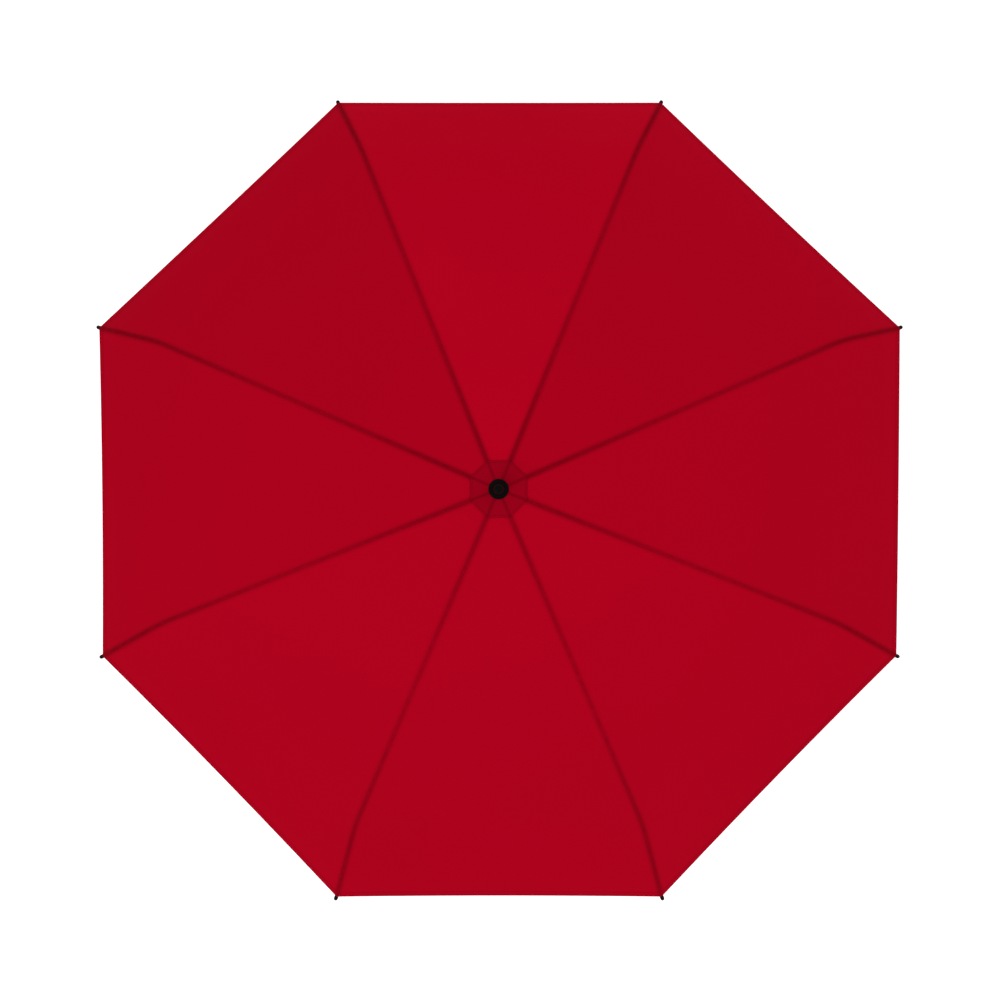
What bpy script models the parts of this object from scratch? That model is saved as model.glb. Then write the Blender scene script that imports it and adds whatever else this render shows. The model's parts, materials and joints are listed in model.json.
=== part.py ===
"""Golf umbrella, open, standing on the flat end of its handle, with +Z up along the shaft.

The origin is the centre of the handle's bottom face. Eight ribs hinge on a wire ring in the
crown. Each rib is a fibreglass rod that bends as the umbrella opens; its bend is a hinge at the
joiner, between rib_inner and rib_outer. Eight stretchers hang from the joiners to the runner.
A spring inside the shaft pushes the runner up. Every rib's pieces are modelled in the plane
y = 0 and turned to the rib's azimuth.
"""

import math

import bmesh
import bpy
from mathutils import Matrix, Vector

MM = 0.001
GAP = 0.3 * MM

# ---- driving dimensions, in metres ----
RIBS = 8
FIRST_AZIMUTH = math.radians(22.5)
RIB_LENGTH = 685.8 * MM  # 27 inch ribs, along the curve
CROWN_SLOPE = math.radians(8)  # below horizontal, where the rib leaves the crown
RIM_SLOPE = math.radians(42)  # below horizontal, at the tip
CROWN_Z = 885 * MM  # height of the rib pivots
PIVOT_R = 16 * MM  # radius of the pivot circles in the crown and in the runner
FLEX_AT = 308 * MM  # along the rib, where it bends
JOINER_AT = 300 * MM  # along the rib, where the stretcher is riveted
JOINER_DROP = 6 * MM  # rivet below the rib's axis
STRETCHER_LENGTH = 340 * MM
CLOSED_SLOPE = math.radians(88)  # of both halves' chords, when folded

SHAFT_R = 7 * MM
SHAFT_BORE_R = 5 * MM
SLIDE_R = SHAFT_R + GAP
SHAFT_TOP = CROWN_Z + 17 * MM

ROD_R = 1.75 * MM
FLEX_GAP = 1.3 * MM
EYE_R = 2.6 * MM
EYE_HOLE_R = 1.2 * MM
EYE_THICKNESS = 2.4 * MM
RIVET_R = 0.9 * MM
BRACKET_WIDTH = 7 * MM
BRACKET_SLOT = 3.2 * MM
STRETCHER_WIDTH = 2.4 * MM
STRETCHER_DEPTH = 4 * MM

HUB_R = 20 * MM  # crown and runner head
HUB_CORE_R = 12.5 * MM  # floor of their slots
HUB_SLOT = 4.2 * MM
HUB_EDGE = 1 * MM
CROWN_RISE = 4.5 * MM  # top of the crown above the pivots
CROWN_FOOT = 22 * MM  # foot of the crown below the pivots
GROOVE_HALF = 1.1 * MM  # of the groove for the wire ring
WIRE_R = 0.7 * MM
PIN_DROP = 14 * MM  # crown pin below the pivots
PIN_R = 1 * MM
PIN_HALF = 12 * MM
FLANGE_R = 14.4 * MM  # of the ferrule
FERRULE_HEIGHT = 60 * MM

FABRIC = 1 * MM
CANOPY_LIFT = 3.5 * MM  # underside of the cloth above the rib's axis
CROWN_LIFT = 6 * MM
CANOPY_INNER = -6.5 * MM  # along the rib, inside the pivot
CANOPY_OUTER = RIB_LENGTH - 10 * MM
ROSETTE_AT = 27.5 * MM  # along the rib, where the rosette's corners lie

SLEEVE_R = 11.5 * MM
SLEEVE_LENGTH = 30 * MM
HEAD_HALF = 6 * MM  # half the runner head's height
CATCH_R = 10.6 * MM  # bore in the runner's foot, behind the catch window
CATCH_DEPTH = 12.5 * MM
LIP_R = 13 * MM
LIP_HEIGHT = 3 * MM
KEY_LOW = -20 * MM  # drive key, from the runner's pivots
KEY_HIGH = -12 * MM
KEY_HALF = 0.8 * MM

END_CAP = 6 * MM
GRIP_R = 18 * MM
GRIP_TOP = 168 * MM
CORE_R = 10.5 * MM
COLLAR_R = 16.5 * MM
BUTTON_Z = 189 * MM
BUTTON_R = 5 * MM
BUTTON_PROUD = 2.6 * MM  # beyond the collar
BUTTON_BACK = 10.2 * MM  # its inner face, from the shaft's axis
BUTTON_TRAVEL = 1.4 * MM
TONGUE_IN = 8.9 * MM
TONGUE_OUT = 9.9 * MM

SPRING_TURNS = 32
SPRING_R = 3.9 * MM
SPRING_WIRE_R = 0.5 * MM
SPRING_FOOT = 20.5 * MM
PLUNGER_R = 4.6 * MM
PLUNGER_HEIGHT = 12 * MM

STRAP_RIB = 7
STRAP_AT = RIB_LENGTH - 24 * MM
STRAP_DROP = 7 * MM
STRAP_LENGTH = 150 * MM
STRAP_WIDTH = 22 * MM

ROUND = 24  # sides of the turned pieces
COLOURS = {
    "canopy_red": ((0.40, 0.0, 0.011), 0.75, 0.0),
    "rosette_red": ((0.28, 0.0, 0.008), 0.75, 0.0),
    "black_plastic": ((0.012, 0.011, 0.011), 0.42, 0.0),
    "fibreglass": ((0.02, 0.02, 0.021), 0.35, 0.0),
    "foam": ((0.018, 0.018, 0.019), 0.9, 0.0),
    "steel": ((0.55, 0.55, 0.56), 0.3, 1.0),
    "button_grey": ((0.25, 0.25, 0.26), 0.4, 0.0),
}


# ---- the linkage ----


def rib_slope(s):
    """Angle below horizontal at the length s along the rib, which bends evenly."""
    return CROWN_SLOPE + (RIM_SLOPE - CROWN_SLOPE) * s / RIB_LENGTH


def rib_point(s, lift=0.0):
    """(radius, height) at the length s along the rib, and lift above its axis."""
    bend_r = RIB_LENGTH / (RIM_SLOPE - CROWN_SLOPE)
    a = rib_slope(s)
    radius = PIVOT_R + bend_r * (math.sin(a) - math.sin(CROWN_SLOPE))
    height = CROWN_Z + bend_r * (math.cos(a) - math.cos(CROWN_SLOPE))
    return Vector((radius + lift * math.sin(a), 0, height + lift * math.cos(a)))


def folded(point, pivot, angle):
    """point turned down about pivot, in the rib's plane."""
    return pivot + Matrix.Rotation(angle, 3, "Y") @ (point - pivot)


def runner_height(rivet):
    """Height of the runner's pivots for a rivet at this place."""
    reach = rivet.x - PIVOT_R
    return rivet.z - math.sqrt(STRETCHER_LENGTH**2 - reach**2)


def slope_between(a, b):
    return math.atan2(a.z - b.z, b.x - a.x)


CROWN_PIVOT = Vector((PIVOT_R, 0, CROWN_Z))
FLEX = rib_point(FLEX_AT)
RIVET = rib_point(JOINER_AT, -JOINER_DROP)
RUNNER_Z = runner_height(RIVET)
RUNNER_PIVOT = Vector((PIVOT_R, 0, RUNNER_Z))
RIB_FOLD = CLOSED_SLOPE - slope_between(CROWN_PIVOT, FLEX)
RUNNER_Z_CLOSED = runner_height(folded(RIVET, CROWN_PIVOT, RIB_FOLD))
RUNNER_FOOT = -HEAD_HALF - SLEEVE_LENGTH  # below the runner's pivots
COLLAR_TOP = RUNNER_Z_CLOSED + RUNNER_FOOT - 2 * GAP


# ---- modelling helpers ----


def material(name):
    found = bpy.data.materials.get(name)
    if found:
        return found
    colour, roughness, metallic = COLOURS[name]
    made = bpy.data.materials.new(name)
    made.use_nodes = True
    shader = made.node_tree.nodes["Principled BSDF"]
    shader.inputs["Base Color"].default_value = (*colour, 1)
    shader.inputs["Roughness"].default_value = roughness
    shader.inputs["Metallic"].default_value = metallic
    made.diffuse_color = (*colour, 1)
    return made


def add(name, mesh, slot, at=(0, 0, 0), turn=0.0):
    """A new object with this mesh, whose origin is at this place."""
    made = bpy.data.objects.new(name, mesh)
    if not mesh.materials:
        mesh.materials.append(material(slot))
    made.location = at
    made.rotation_euler = (0, 0, turn)
    bpy.context.scene.collection.objects.link(made)
    return made


def finished(bm, name, smooth=True):
    """The bmesh as a mesh, with its faces pointing out."""
    bmesh.ops.recalc_face_normals(bm, faces=bm.faces)
    mesh = bpy.data.meshes.new(name)
    bm.to_mesh(mesh)
    bm.free()
    if smooth:
        mesh.shade_smooth()
        mesh.set_sharp_from_angle(angle=math.radians(35))
    return mesh


def lofted(name, rings, round_closed=False, smooth=True):
    """A skin through rings of points. It ends in two caps, or its last ring meets its first."""
    bm = bmesh.new()
    made = [[bm.verts.new(p) for p in ring] for ring in rings]
    pairs = list(zip(made, made[1:]))
    if round_closed:
        pairs.append((made[-1], made[0]))
    else:
        bm.faces.new(made[0])
        bm.faces.new(made[-1])
    for ring, after in pairs:
        for k, corner in enumerate(ring):
            n = (k + 1) % len(ring)
            bm.faces.new((corner, ring[n], after[n], after[k]))
    return finished(bm, name, smooth)


def turned(name, profile, sides=ROUND):
    """A closed outline of (radius, height) points spun round the Z axis."""
    bm = bmesh.new()
    points = [bm.verts.new((r, 0, z)) for r, z in profile]
    edges = [bm.edges.new((p, points[(k + 1) % len(points)])) for k, p in enumerate(points)]
    bmesh.ops.spin(bm, geom=edges, axis=(0, 0, 1), cent=(0, 0, 0), steps=sides, angle=math.tau)
    bmesh.ops.remove_doubles(bm, verts=bm.verts, dist=0.01 * MM)
    return finished(bm, name)


def box(name, low, high):
    bm = bmesh.new()
    bmesh.ops.create_cube(bm, size=1)
    size = Vector(high) - Vector(low)
    bmesh.ops.scale(bm, verts=bm.verts, vec=size)
    bmesh.ops.translate(bm, verts=bm.verts, vec=(Vector(low) + Vector(high)) / 2)
    return finished(bm, name, smooth=False)


def rod_y(name, radius, y_from, y_to, at, sides=16):
    """A cylinder along Y, whose axis passes through at."""
    bm = bmesh.new()
    bmesh.ops.create_cone(
        bm, cap_ends=True, segments=sides, radius1=radius, radius2=radius, depth=y_to - y_from
    )
    turn = Matrix.Rotation(math.radians(90), 4, "X")
    middle = Vector((at[0], (y_from + y_to) / 2, at[2]))
    bmesh.ops.transform(bm, matrix=Matrix.Translation(middle) @ turn, verts=bm.verts)
    return finished(bm, name)


def combined(name, base, others, operation):
    """The base mesh joined with, or cut by, each of the other meshes."""
    host = bpy.data.objects.new(name, base)
    bpy.context.scene.collection.objects.link(host)
    helpers = []
    for k, mesh in enumerate(others):
        helper = bpy.data.objects.new(f"{name}_helper_{k}", mesh)
        bpy.context.scene.collection.objects.link(helper)
        step = host.modifiers.new(f"step_{k}", "BOOLEAN")
        step.operation = operation
        step.object = helper
        step.solver = "EXACT"
        helpers.append(helper)
    bpy.context.view_layer.update()
    depsgraph = bpy.context.evaluated_depsgraph_get()
    result = bpy.data.meshes.new_from_object(host.evaluated_get(depsgraph))
    result.name = name
    for helper in [host, *helpers]:
        bpy.data.objects.remove(helper, do_unlink=True)
    result.materials.clear()
    result.shade_smooth()
    result.set_sharp_from_angle(angle=math.radians(35))
    return result


def azimuth(k):
    return FIRST_AZIMUTH + k * math.tau / RIBS


def on_every_rib(name, mesh, slot, at):
    """One copy of the mesh for each rib, with its origin at this point of the rib's plane."""
    for k in range(RIBS):
        place = Matrix.Rotation(azimuth(k), 3, "Z") @ at
        add(f"{name}_{k + 1}", mesh, slot, place, azimuth(k))


def rod_along_rib(name, s_from, s_to, origin, stations, sides=8):
    """A round rod that follows the rib's curve."""
    rings = []
    for j in range(stations + 1):
        s = s_from + (s_to - s_from) * j / stations
        centre = rib_point(s) - origin
        up = rib_point(s, 1) - rib_point(s)
        ring = []
        for k in range(sides):
            a = (k + 0.5) * math.tau / sides
            ring.append(centre + ROD_R * (math.cos(a) * up + math.sin(a) * Vector((0, 1, 0))))
        rings.append(ring)
    return lofted(name, rings)


def bar(name, start, end, width, up, down):
    """A straight bar between two points of the plane y = 0. It reaches up above their line
    and down below it."""
    along = (end - start).normalized()
    above = Vector((-along.z, 0, along.x))
    if above.z < 0:
        above = -above
    rings = []
    for point in (start, end):
        corners = ((up, -width / 2), (up, width / 2), (-down, width / 2), (-down, -width / 2))
        rings.append([point + h * above + Vector((0, y, 0)) for h, y in corners])
    return lofted(name, rings, smooth=False)


# ---- shaft, crown and ferrule ----


def pin_hole():
    """Cutter for the crown pin's hole through the crown and the shaft."""
    return rod_y("pin_hole", PIN_R + GAP, -HUB_R, HUB_R, (0, 0, CROWN_Z - PIN_DROP))


def make_shaft():
    tube = turned(
        "shaft",
        [
            (SHAFT_BORE_R, END_CAP + GAP),
            (SHAFT_R, END_CAP + GAP),
            (SHAFT_R, SHAFT_TOP),
            (SHAFT_BORE_R, SHAFT_TOP),
        ],
    )
    slot_half = KEY_HALF + 0.4 * MM
    slot_end = 3 * MM
    slot = box(
        "key_slot",
        (SHAFT_BORE_R - 2 * MM, -slot_half, RUNNER_Z_CLOSED + KEY_LOW - slot_end),
        (SHAFT_R + 2 * MM, slot_half, RUNNER_Z + KEY_HIGH + slot_end),
    )
    add("shaft", combined("shaft", tube, [slot, pin_hole()], "DIFFERENCE"), "fibreglass")


def make_crown():
    """Slotted hub. A groove holds the wire ring, and each rib swings in a slot that is open
    below and outward."""
    groove_floor = PIVOT_R - 2 * WIRE_R
    head_foot = CROWN_Z - 5 * MM
    top = CROWN_Z + CROWN_RISE
    base = turned(
        "crown",
        [
            (SLIDE_R, CROWN_Z - CROWN_FOOT),
            (HUB_CORE_R - GAP, CROWN_Z - CROWN_FOOT),
            (HUB_CORE_R - GAP, head_foot),
            (HUB_R - HUB_EDGE, head_foot),
            (HUB_R, head_foot + HUB_EDGE),
            (HUB_R, CROWN_Z - GROOVE_HALF),
            (groove_floor, CROWN_Z - GROOVE_HALF),
            (groove_floor, CROWN_Z + GROOVE_HALF),
            (HUB_R, CROWN_Z + GROOVE_HALF),
            (HUB_R, top - HUB_EDGE),
            (HUB_R - HUB_EDGE, top),
            (SLIDE_R, top),
        ],
    )
    cutters = []
    for k in range(RIBS):
        cutter = box(
            f"crown_slot_{k}",
            (HUB_CORE_R, -HUB_SLOT / 2, CROWN_Z - 10 * MM),
            (HUB_R + 5 * MM, HUB_SLOT / 2, CROWN_Z + 3.2 * MM),
        )
        cutter.transform(Matrix.Rotation(azimuth(k), 4, "Z"))
        cutters.append(cutter)
    cutters.append(pin_hole())
    add("crown", combined("crown", base, cutters, "DIFFERENCE"), "black_plastic")
    pin_at = (0, 0, CROWN_Z - PIN_DROP)
    add("crown_pin", rod_y("crown_pin", PIN_R, -PIN_HALF, PIN_HALF, pin_at, 12), "steel")
    wire_sides = 6
    rings = []
    for k in range(ROUND):
        a = k * math.tau / ROUND
        out = Vector((math.cos(a), math.sin(a), 0))
        ring = []
        for j in range(wire_sides):
            b = j * math.tau / wire_sides
            height = CROWN_Z + WIRE_R * math.sin(b)
            ring.append(out * (PIVOT_R + WIRE_R * math.cos(b)) + Vector((0, 0, height)))
        rings.append(ring)
    add("crown_wire", lofted("crown_wire", rings, round_closed=True), "steel")


def make_ferrule():
    """Flanged cap with a short blunt spike. It holds the cloth down on the crown."""
    foot = canopy_point(CANOPY_INNER, FABRIC + GAP + FABRIC + GAP).z
    top = foot + FERRULE_HEIGHT
    add(
        "ferrule",
        turned(
            "ferrule",
            [
                (0, SHAFT_TOP + GAP),
                (SLIDE_R, SHAFT_TOP + GAP),
                (SLIDE_R, foot),
                (FLANGE_R - 0.4 * MM, foot),
                (FLANGE_R, foot + 0.6 * MM),
                (FLANGE_R - 0.3 * MM, foot + 2 * MM),
                (FLANGE_R - 2 * MM, foot + 3.4 * MM),
                (10.5 * MM, foot + 4.6 * MM),
                (8.8 * MM, foot + 7 * MM),
                (8 * MM, foot + 12 * MM),
                (6.4 * MM, top - 8 * MM),
                (5.8 * MM, top - 3 * MM),
                (4.2 * MM, top - 0.8 * MM),
                (2.2 * MM, top),
                (0, top),
            ],
        ),
        "black_plastic",
    )


# ---- canopy ----


def canopy_point(s, above=0.0):
    """Point of the cloth over a rib, at this height above the cloth's underside."""
    near = min(max((s - 8 * MM) / (45 * MM), 0), 1)
    ease = near * near * (3 - 2 * near)
    return rib_point(s, CROWN_LIFT + (CANOPY_LIFT - CROWN_LIFT) * ease + above)


def seam_point(s, above, ribs_on):
    """Point of a panel's edge beside its own rib, or beside the next one, in its own rib's frame."""
    point = canopy_point(s, above)
    inset = Vector((0, 0.6 * GAP * (1 - 2 * ribs_on), 0))
    return Matrix.Rotation(ribs_on * math.tau / RIBS, 3, "Z") @ (point + inset)


def make_canopy():
    """Eight panels of cloth, each from one rib's seam to the next and straight between them."""
    stations = 13
    rings = []
    for j in range(stations + 1):
        s = CANOPY_INNER + (CANOPY_OUTER - CANOPY_INNER) * j / stations
        ring = [
            seam_point(s, 0, 0),
            seam_point(s, 0, 1),
            seam_point(s, FABRIC, 1),
            seam_point(s, FABRIC, 0),
        ]
        rings.append([p - CROWN_PIVOT for p in ring])
    on_every_rib("canopy_panel", lofted("canopy_panel", rings), "canopy_red", CROWN_PIVOT)


def make_rosette():
    """Octagonal patch of doubled cloth round the ferrule, with its corners on the seams."""
    rings = []
    for k in range(2 * RIBS):
        ring = []
        turn = Matrix.Rotation(FIRST_AZIMUTH + k * math.pi / RIBS, 3, "Z")
        shrink = 1.0 if k % 2 == 0 else math.cos(math.pi / RIBS)
        for s, above in (
            (CANOPY_INNER, FABRIC + GAP),
            (ROSETTE_AT / 2, FABRIC + GAP),
            (ROSETTE_AT, FABRIC + GAP),
            (ROSETTE_AT, 2 * FABRIC + GAP),
            (ROSETTE_AT / 2, 2 * FABRIC + GAP),
            (CANOPY_INNER, 2 * FABRIC + GAP),
        ):
            p = canopy_point(s, above)
            ring.append(turn @ Vector((p.x * shrink, 0, p.z)))
        rings.append(ring)
    add("rosette", lofted("rosette", rings, round_closed=True), "rosette_red")


# ---- ribs, tips and stretchers ----


def eye(name, centre, hole_r):
    """A flat ring, as its disc and its hole."""
    half = EYE_THICKNESS / 2
    disc = rod_y(f"{name}_disc", EYE_R, -half, half, centre)
    hole = rod_y(f"{name}_hole", hole_r, -2 * half, 2 * half, centre)
    return disc, hole


def make_rib_inner():
    """Rod from the crown to the joiner, with an eye for the wire ring and a bracket with the
    stretcher's rivet."""
    origin = CROWN_PIVOT
    rod_start = 6.5 * MM
    rod = rod_along_rib("rib_rod", rod_start, FLEX_AT - FLEX_GAP / 2, origin, 7)
    disc, hole = eye("crown_eye", Vector((0, 0, 0)), EYE_HOLE_R)
    neck = bar(
        "neck",
        Vector((1.5 * MM, 0, 0)),
        rib_point(rod_start + 2 * MM) - origin,
        EYE_THICKNESS - 0.2 * MM,
        1.4 * MM,
        1.4 * MM,
    )
    bracket_from = rib_point(JOINER_AT - 7 * MM) - origin
    bracket_to = rib_point(JOINER_AT + 6 * MM) - origin
    bracket = bar("bracket", bracket_from, bracket_to, BRACKET_WIDTH, 2.3 * MM, JOINER_DROP + 2.6 * MM)
    slot_from = rib_point(JOINER_AT - 12 * MM, -JOINER_DROP) - origin
    slot_to = rib_point(JOINER_AT + 12 * MM, -JOINER_DROP) - origin
    slot = bar("bracket_slot", slot_from, slot_to, BRACKET_SLOT, EYE_R + 0.5 * MM, 5 * MM)
    half = BRACKET_WIDTH / 2 - 0.5 * MM
    rivet = rod_y("rivet", RIVET_R, -half, half, RIVET - origin, 12)
    clip = combined("joiner", bracket, [slot], "DIFFERENCE")
    mesh = combined("rib_inner", rod, [disc, neck, clip, rivet], "UNION")
    on_every_rib("rib_inner", combined("rib_inner", mesh, [hole], "DIFFERENCE"), "fibreglass", origin)


def make_rib_outer():
    """Rod from the joiner to the tip. Its origin is where the rib bends."""
    rod = rod_along_rib("rib_outer", FLEX_AT + FLEX_GAP / 2, RIB_LENGTH - 9 * MM, FLEX, 8)
    on_every_rib("rib_outer", rod, "fibreglass", FLEX)


def make_tips():
    """Blunt cap pushed on the rib's end. The cloth's corner is sewn to it."""
    start = RIB_LENGTH - 22 * MM
    along = (rib_point(RIB_LENGTH) - rib_point(start)).normalized()
    length = (rib_point(RIB_LENGTH) - rib_point(start)).length
    bore_r = ROD_R + GAP
    cap_r = 2.9 * MM
    mesh = turned(
        "rib_tip",
        [
            (0, 14 * MM),
            (bore_r, 14 * MM),
            (bore_r, 0),
            (cap_r - 0.3 * MM, 0),
            (cap_r, 0.5 * MM),
            (cap_r, length - 4.5 * MM),
            (cap_r - 0.1 * MM, length - 2.2 * MM),
            (cap_r - 0.9 * MM, length - 0.7 * MM),
            (1.1 * MM, length),
            (0, length),
        ],
        sides=12,
    )
    mesh.transform(Vector((0, 0, 1)).rotation_difference(along).to_matrix().to_4x4())
    mesh.transform(Matrix.Translation(rib_point(start) - FLEX))
    on_every_rib("rib_tip", mesh, "black_plastic", FLEX)


def make_stretchers():
    """Flat strut from the joiner's rivet to the runner, with an eye at the rivet and a round
    end at the runner."""
    runner_end = RUNNER_PIVOT - RIVET
    along = runner_end.normalized()
    side = Vector((-along.z, 0, along.x))
    steps = 8
    outline = []
    ends = (
        (Vector((0, 0, 0)), EYE_R, -along, 1),
        (runner_end, STRETCHER_DEPTH / 2, along, -1),
    )
    for centre, radius, away, sign in ends:
        for k in range(steps + 1):
            a = math.pi * (k / steps - 0.5)
            outline.append(centre + radius * (math.cos(a) * away + sign * math.sin(a) * side))
    half = STRETCHER_WIDTH / 2
    rings = [[p + Vector((0, y, 0)) for p in outline] for y in (-half, half)]
    strut = lofted("strut", rings)
    hole = rod_y("rivet_hole", RIVET_R + GAP, -2 * half, 2 * half, (0, 0, 0))
    on_every_rib("stretcher", combined("stretcher", strut, [hole], "DIFFERENCE"), "steel", RIVET)


# ---- runner and its spring ----


def make_runner():
    """Slotted head, sleeve with a catch window at its foot, and a drive key that reaches into the shaft."""
    foot = RUNNER_FOOT
    base = turned(
        "runner",
        [
            (SLIDE_R, foot + CATCH_DEPTH),
            (CATCH_R, foot + CATCH_DEPTH),
            (CATCH_R, foot),
            (LIP_R, foot),
            (LIP_R, foot + LIP_HEIGHT),
            (SLEEVE_R, foot + LIP_HEIGHT + 0.5 * MM),
            (SLEEVE_R, -HEAD_HALF - 3 * MM),
            (HUB_CORE_R - GAP, -HEAD_HALF),
            (HUB_R - HUB_EDGE, -HEAD_HALF),
            (HUB_R, -HEAD_HALF + HUB_EDGE),
            (HUB_R, HEAD_HALF - HUB_EDGE),
            (HUB_R - HUB_EDGE, HEAD_HALF),
            (SLIDE_R, HEAD_HALF),
        ],
    )
    cutters = []
    for k in range(RIBS):
        reach = 2 * HEAD_HALF
        cutter = box(
            f"runner_slot_{k}",
            (HUB_CORE_R, -HUB_SLOT / 2, -reach),
            (HUB_R + 5 * MM, HUB_SLOT / 2, reach),
        )
        cutter.transform(Matrix.Rotation(azimuth(k), 4, "Z"))
        cutters.append(cutter)
    window_low = foot + LIP_HEIGHT + 0.4 * MM
    window_half = 2.5 * MM
    window = box(
        "catch_window",
        (-window_half, -LIP_R - 2 * MM, window_low),
        (window_half, -CATCH_R + 1.6 * MM, window_low + 4.5 * MM),
    )
    cutters.append(window)
    key = box("key", (1 * MM, -KEY_HALF, KEY_LOW), (SLEEVE_R - 1.5 * MM, KEY_HALF, KEY_HIGH))
    cut = combined("runner", base, cutters, "DIFFERENCE")
    at = Vector((0, 0, RUNNER_Z))
    add("runner", combined("runner", cut, [key], "UNION"), "black_plastic", at)
    top = KEY_LOW - GAP
    low = top - PLUNGER_HEIGHT
    profile = [(0, low), (PLUNGER_R, low), (PLUNGER_R, top), (0, top)]
    add("spring_plunger", turned("spring_plunger", profile, sides=20), "steel", at)
    return RUNNER_Z + low


def make_main_spring(top):
    """Compression spring inside the shaft, from its seat up to the plunger."""
    seat_low = END_CAP + GAP
    seat_top = SPRING_FOOT - GAP
    profile = [(0, seat_low), (PLUNGER_R, seat_low), (PLUNGER_R, seat_top), (0, seat_top)]
    add("spring_seat", turned("spring_seat", profile, sides=20), "black_plastic")
    per_turn = 6
    wire_sides = 4
    low = SPRING_FOOT + SPRING_WIRE_R
    high = top - GAP - SPRING_WIRE_R
    rings = []
    for k in range(SPRING_TURNS * per_turn + 1):
        a = k * math.tau / per_turn
        height = low + (high - low) * k / (SPRING_TURNS * per_turn)
        out = Vector((math.cos(a), math.sin(a), 0))
        ring = []
        for j in range(wire_sides):
            b = j * math.tau / wire_sides
            radius = SPRING_R + SPRING_WIRE_R * math.cos(b)
            ring.append(out * radius + Vector((0, 0, height + SPRING_WIRE_R * math.sin(b))))
        rings.append(ring)
    add("main_spring", lofted("main_spring", rings), "steel")


# ---- handle ----


def make_handle():
    """Core tube, foam grip and end cap. The end cap's flat face is where the umbrella stands."""
    cap_edge = 1.2 * MM
    cap_r = GRIP_R - 0.5 * MM
    profile = [(0, 0), (cap_r - cap_edge, 0), (cap_r, cap_edge), (cap_r, END_CAP), (0, END_CAP)]
    add("end_cap", turned("end_cap", profile), "black_plastic")
    core_foot = END_CAP + GAP
    add(
        "handle_core",
        turned(
            "handle_core",
            [(SLIDE_R, core_foot), (CORE_R, core_foot), (CORE_R, GRIP_TOP), (SLIDE_R, GRIP_TOP)],
        ),
        "black_plastic",
    )
    foam_in = CORE_R + GAP
    rows = 5
    outside = []
    for k in range(rows + 1):
        f = k / rows
        waist = 0.9 * MM * math.sin(math.pi * f) ** 2
        outside.append((GRIP_R - waist, core_foot + 2 * MM + (GRIP_TOP - core_foot - 4 * MM) * f))
    profile = [(foam_in, core_foot), (GRIP_R - 1.6 * MM, core_foot), *outside]
    profile += [(GRIP_R - 1.6 * MM, GRIP_TOP), (foam_in, GRIP_TOP)]
    add("grip", turned("grip", profile), "foam")


def make_collar_and_button():
    """Button housing on top of the grip. The button and its latch tongue lie on the -Y side."""
    foot = GRIP_TOP + GAP
    base = turned(
        "collar",
        [
            (SLIDE_R, foot),
            (COLLAR_R, foot),
            (COLLAR_R + 0.6 * MM, foot + 3 * MM),
            (COLLAR_R, foot + 10 * MM),
            (COLLAR_R, COLLAR_TOP - 8 * MM),
            (COLLAR_R - 2.5 * MM, COLLAR_TOP - 1 * MM),
            (COLLAR_R - 4 * MM, COLLAR_TOP),
            (SLIDE_R, COLLAR_TOP),
        ],
    )
    tongue_foot = BUTTON_Z - BUTTON_R
    pocket_floor = BUTTON_TRAVEL - BUTTON_BACK + GAP
    pocket_at = (0, 0, BUTTON_Z)
    pocket_r = BUTTON_R + GAP
    pocket = rod_y("pocket", pocket_r, -COLLAR_R - 5 * MM, pocket_floor, pocket_at, 24)
    tongue_slot = box(
        "tongue_slot",
        (-2 * MM, -TONGUE_OUT - 0.4 * MM, tongue_foot - 1 * MM),
        (2 * MM, -6 * MM, COLLAR_TOP + 5 * MM),
    )
    add("collar", combined("collar", base, [pocket, tongue_slot], "DIFFERENCE"), "black_plastic")
    reach = COLLAR_R + BUTTON_PROUD - BUTTON_BACK
    cap = turned(
        "button",
        [
            (0, 0),
            (BUTTON_R, 0),
            (BUTTON_R, reach - 1.5 * MM),
            (BUTTON_R - 0.5 * MM, reach - 0.5 * MM),
            (BUTTON_R - 1.6 * MM, reach),
            (0, reach),
        ],
    )
    cap.transform(Matrix.Rotation(math.radians(90), 4, "X"))
    at = Vector((0, -BUTTON_BACK, BUTTON_Z))
    add("button", cap, "button_grey", at)
    barb_low = RUNNER_Z_CLOSED + RUNNER_FOOT + LIP_HEIGHT + 0.8 * MM
    barb_high = barb_low + 2.4 * MM
    half = 1.5 * MM
    outline = [
        (TONGUE_IN, tongue_foot),
        (TONGUE_OUT, tongue_foot),
        (TONGUE_OUT, barb_low),
        (CATCH_R + 0.6 * MM, barb_low),
        (CATCH_R - 0.2 * MM, barb_high),
        (TONGUE_IN, barb_high),
    ]
    rings = [[Vector((x, -y, z)) - at for y, z in outline] for x in (-half, half)]
    add("latch_tongue", lofted("latch_tongue", rings, smooth=False), "steel", at)


# ---- tie strap ----


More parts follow.
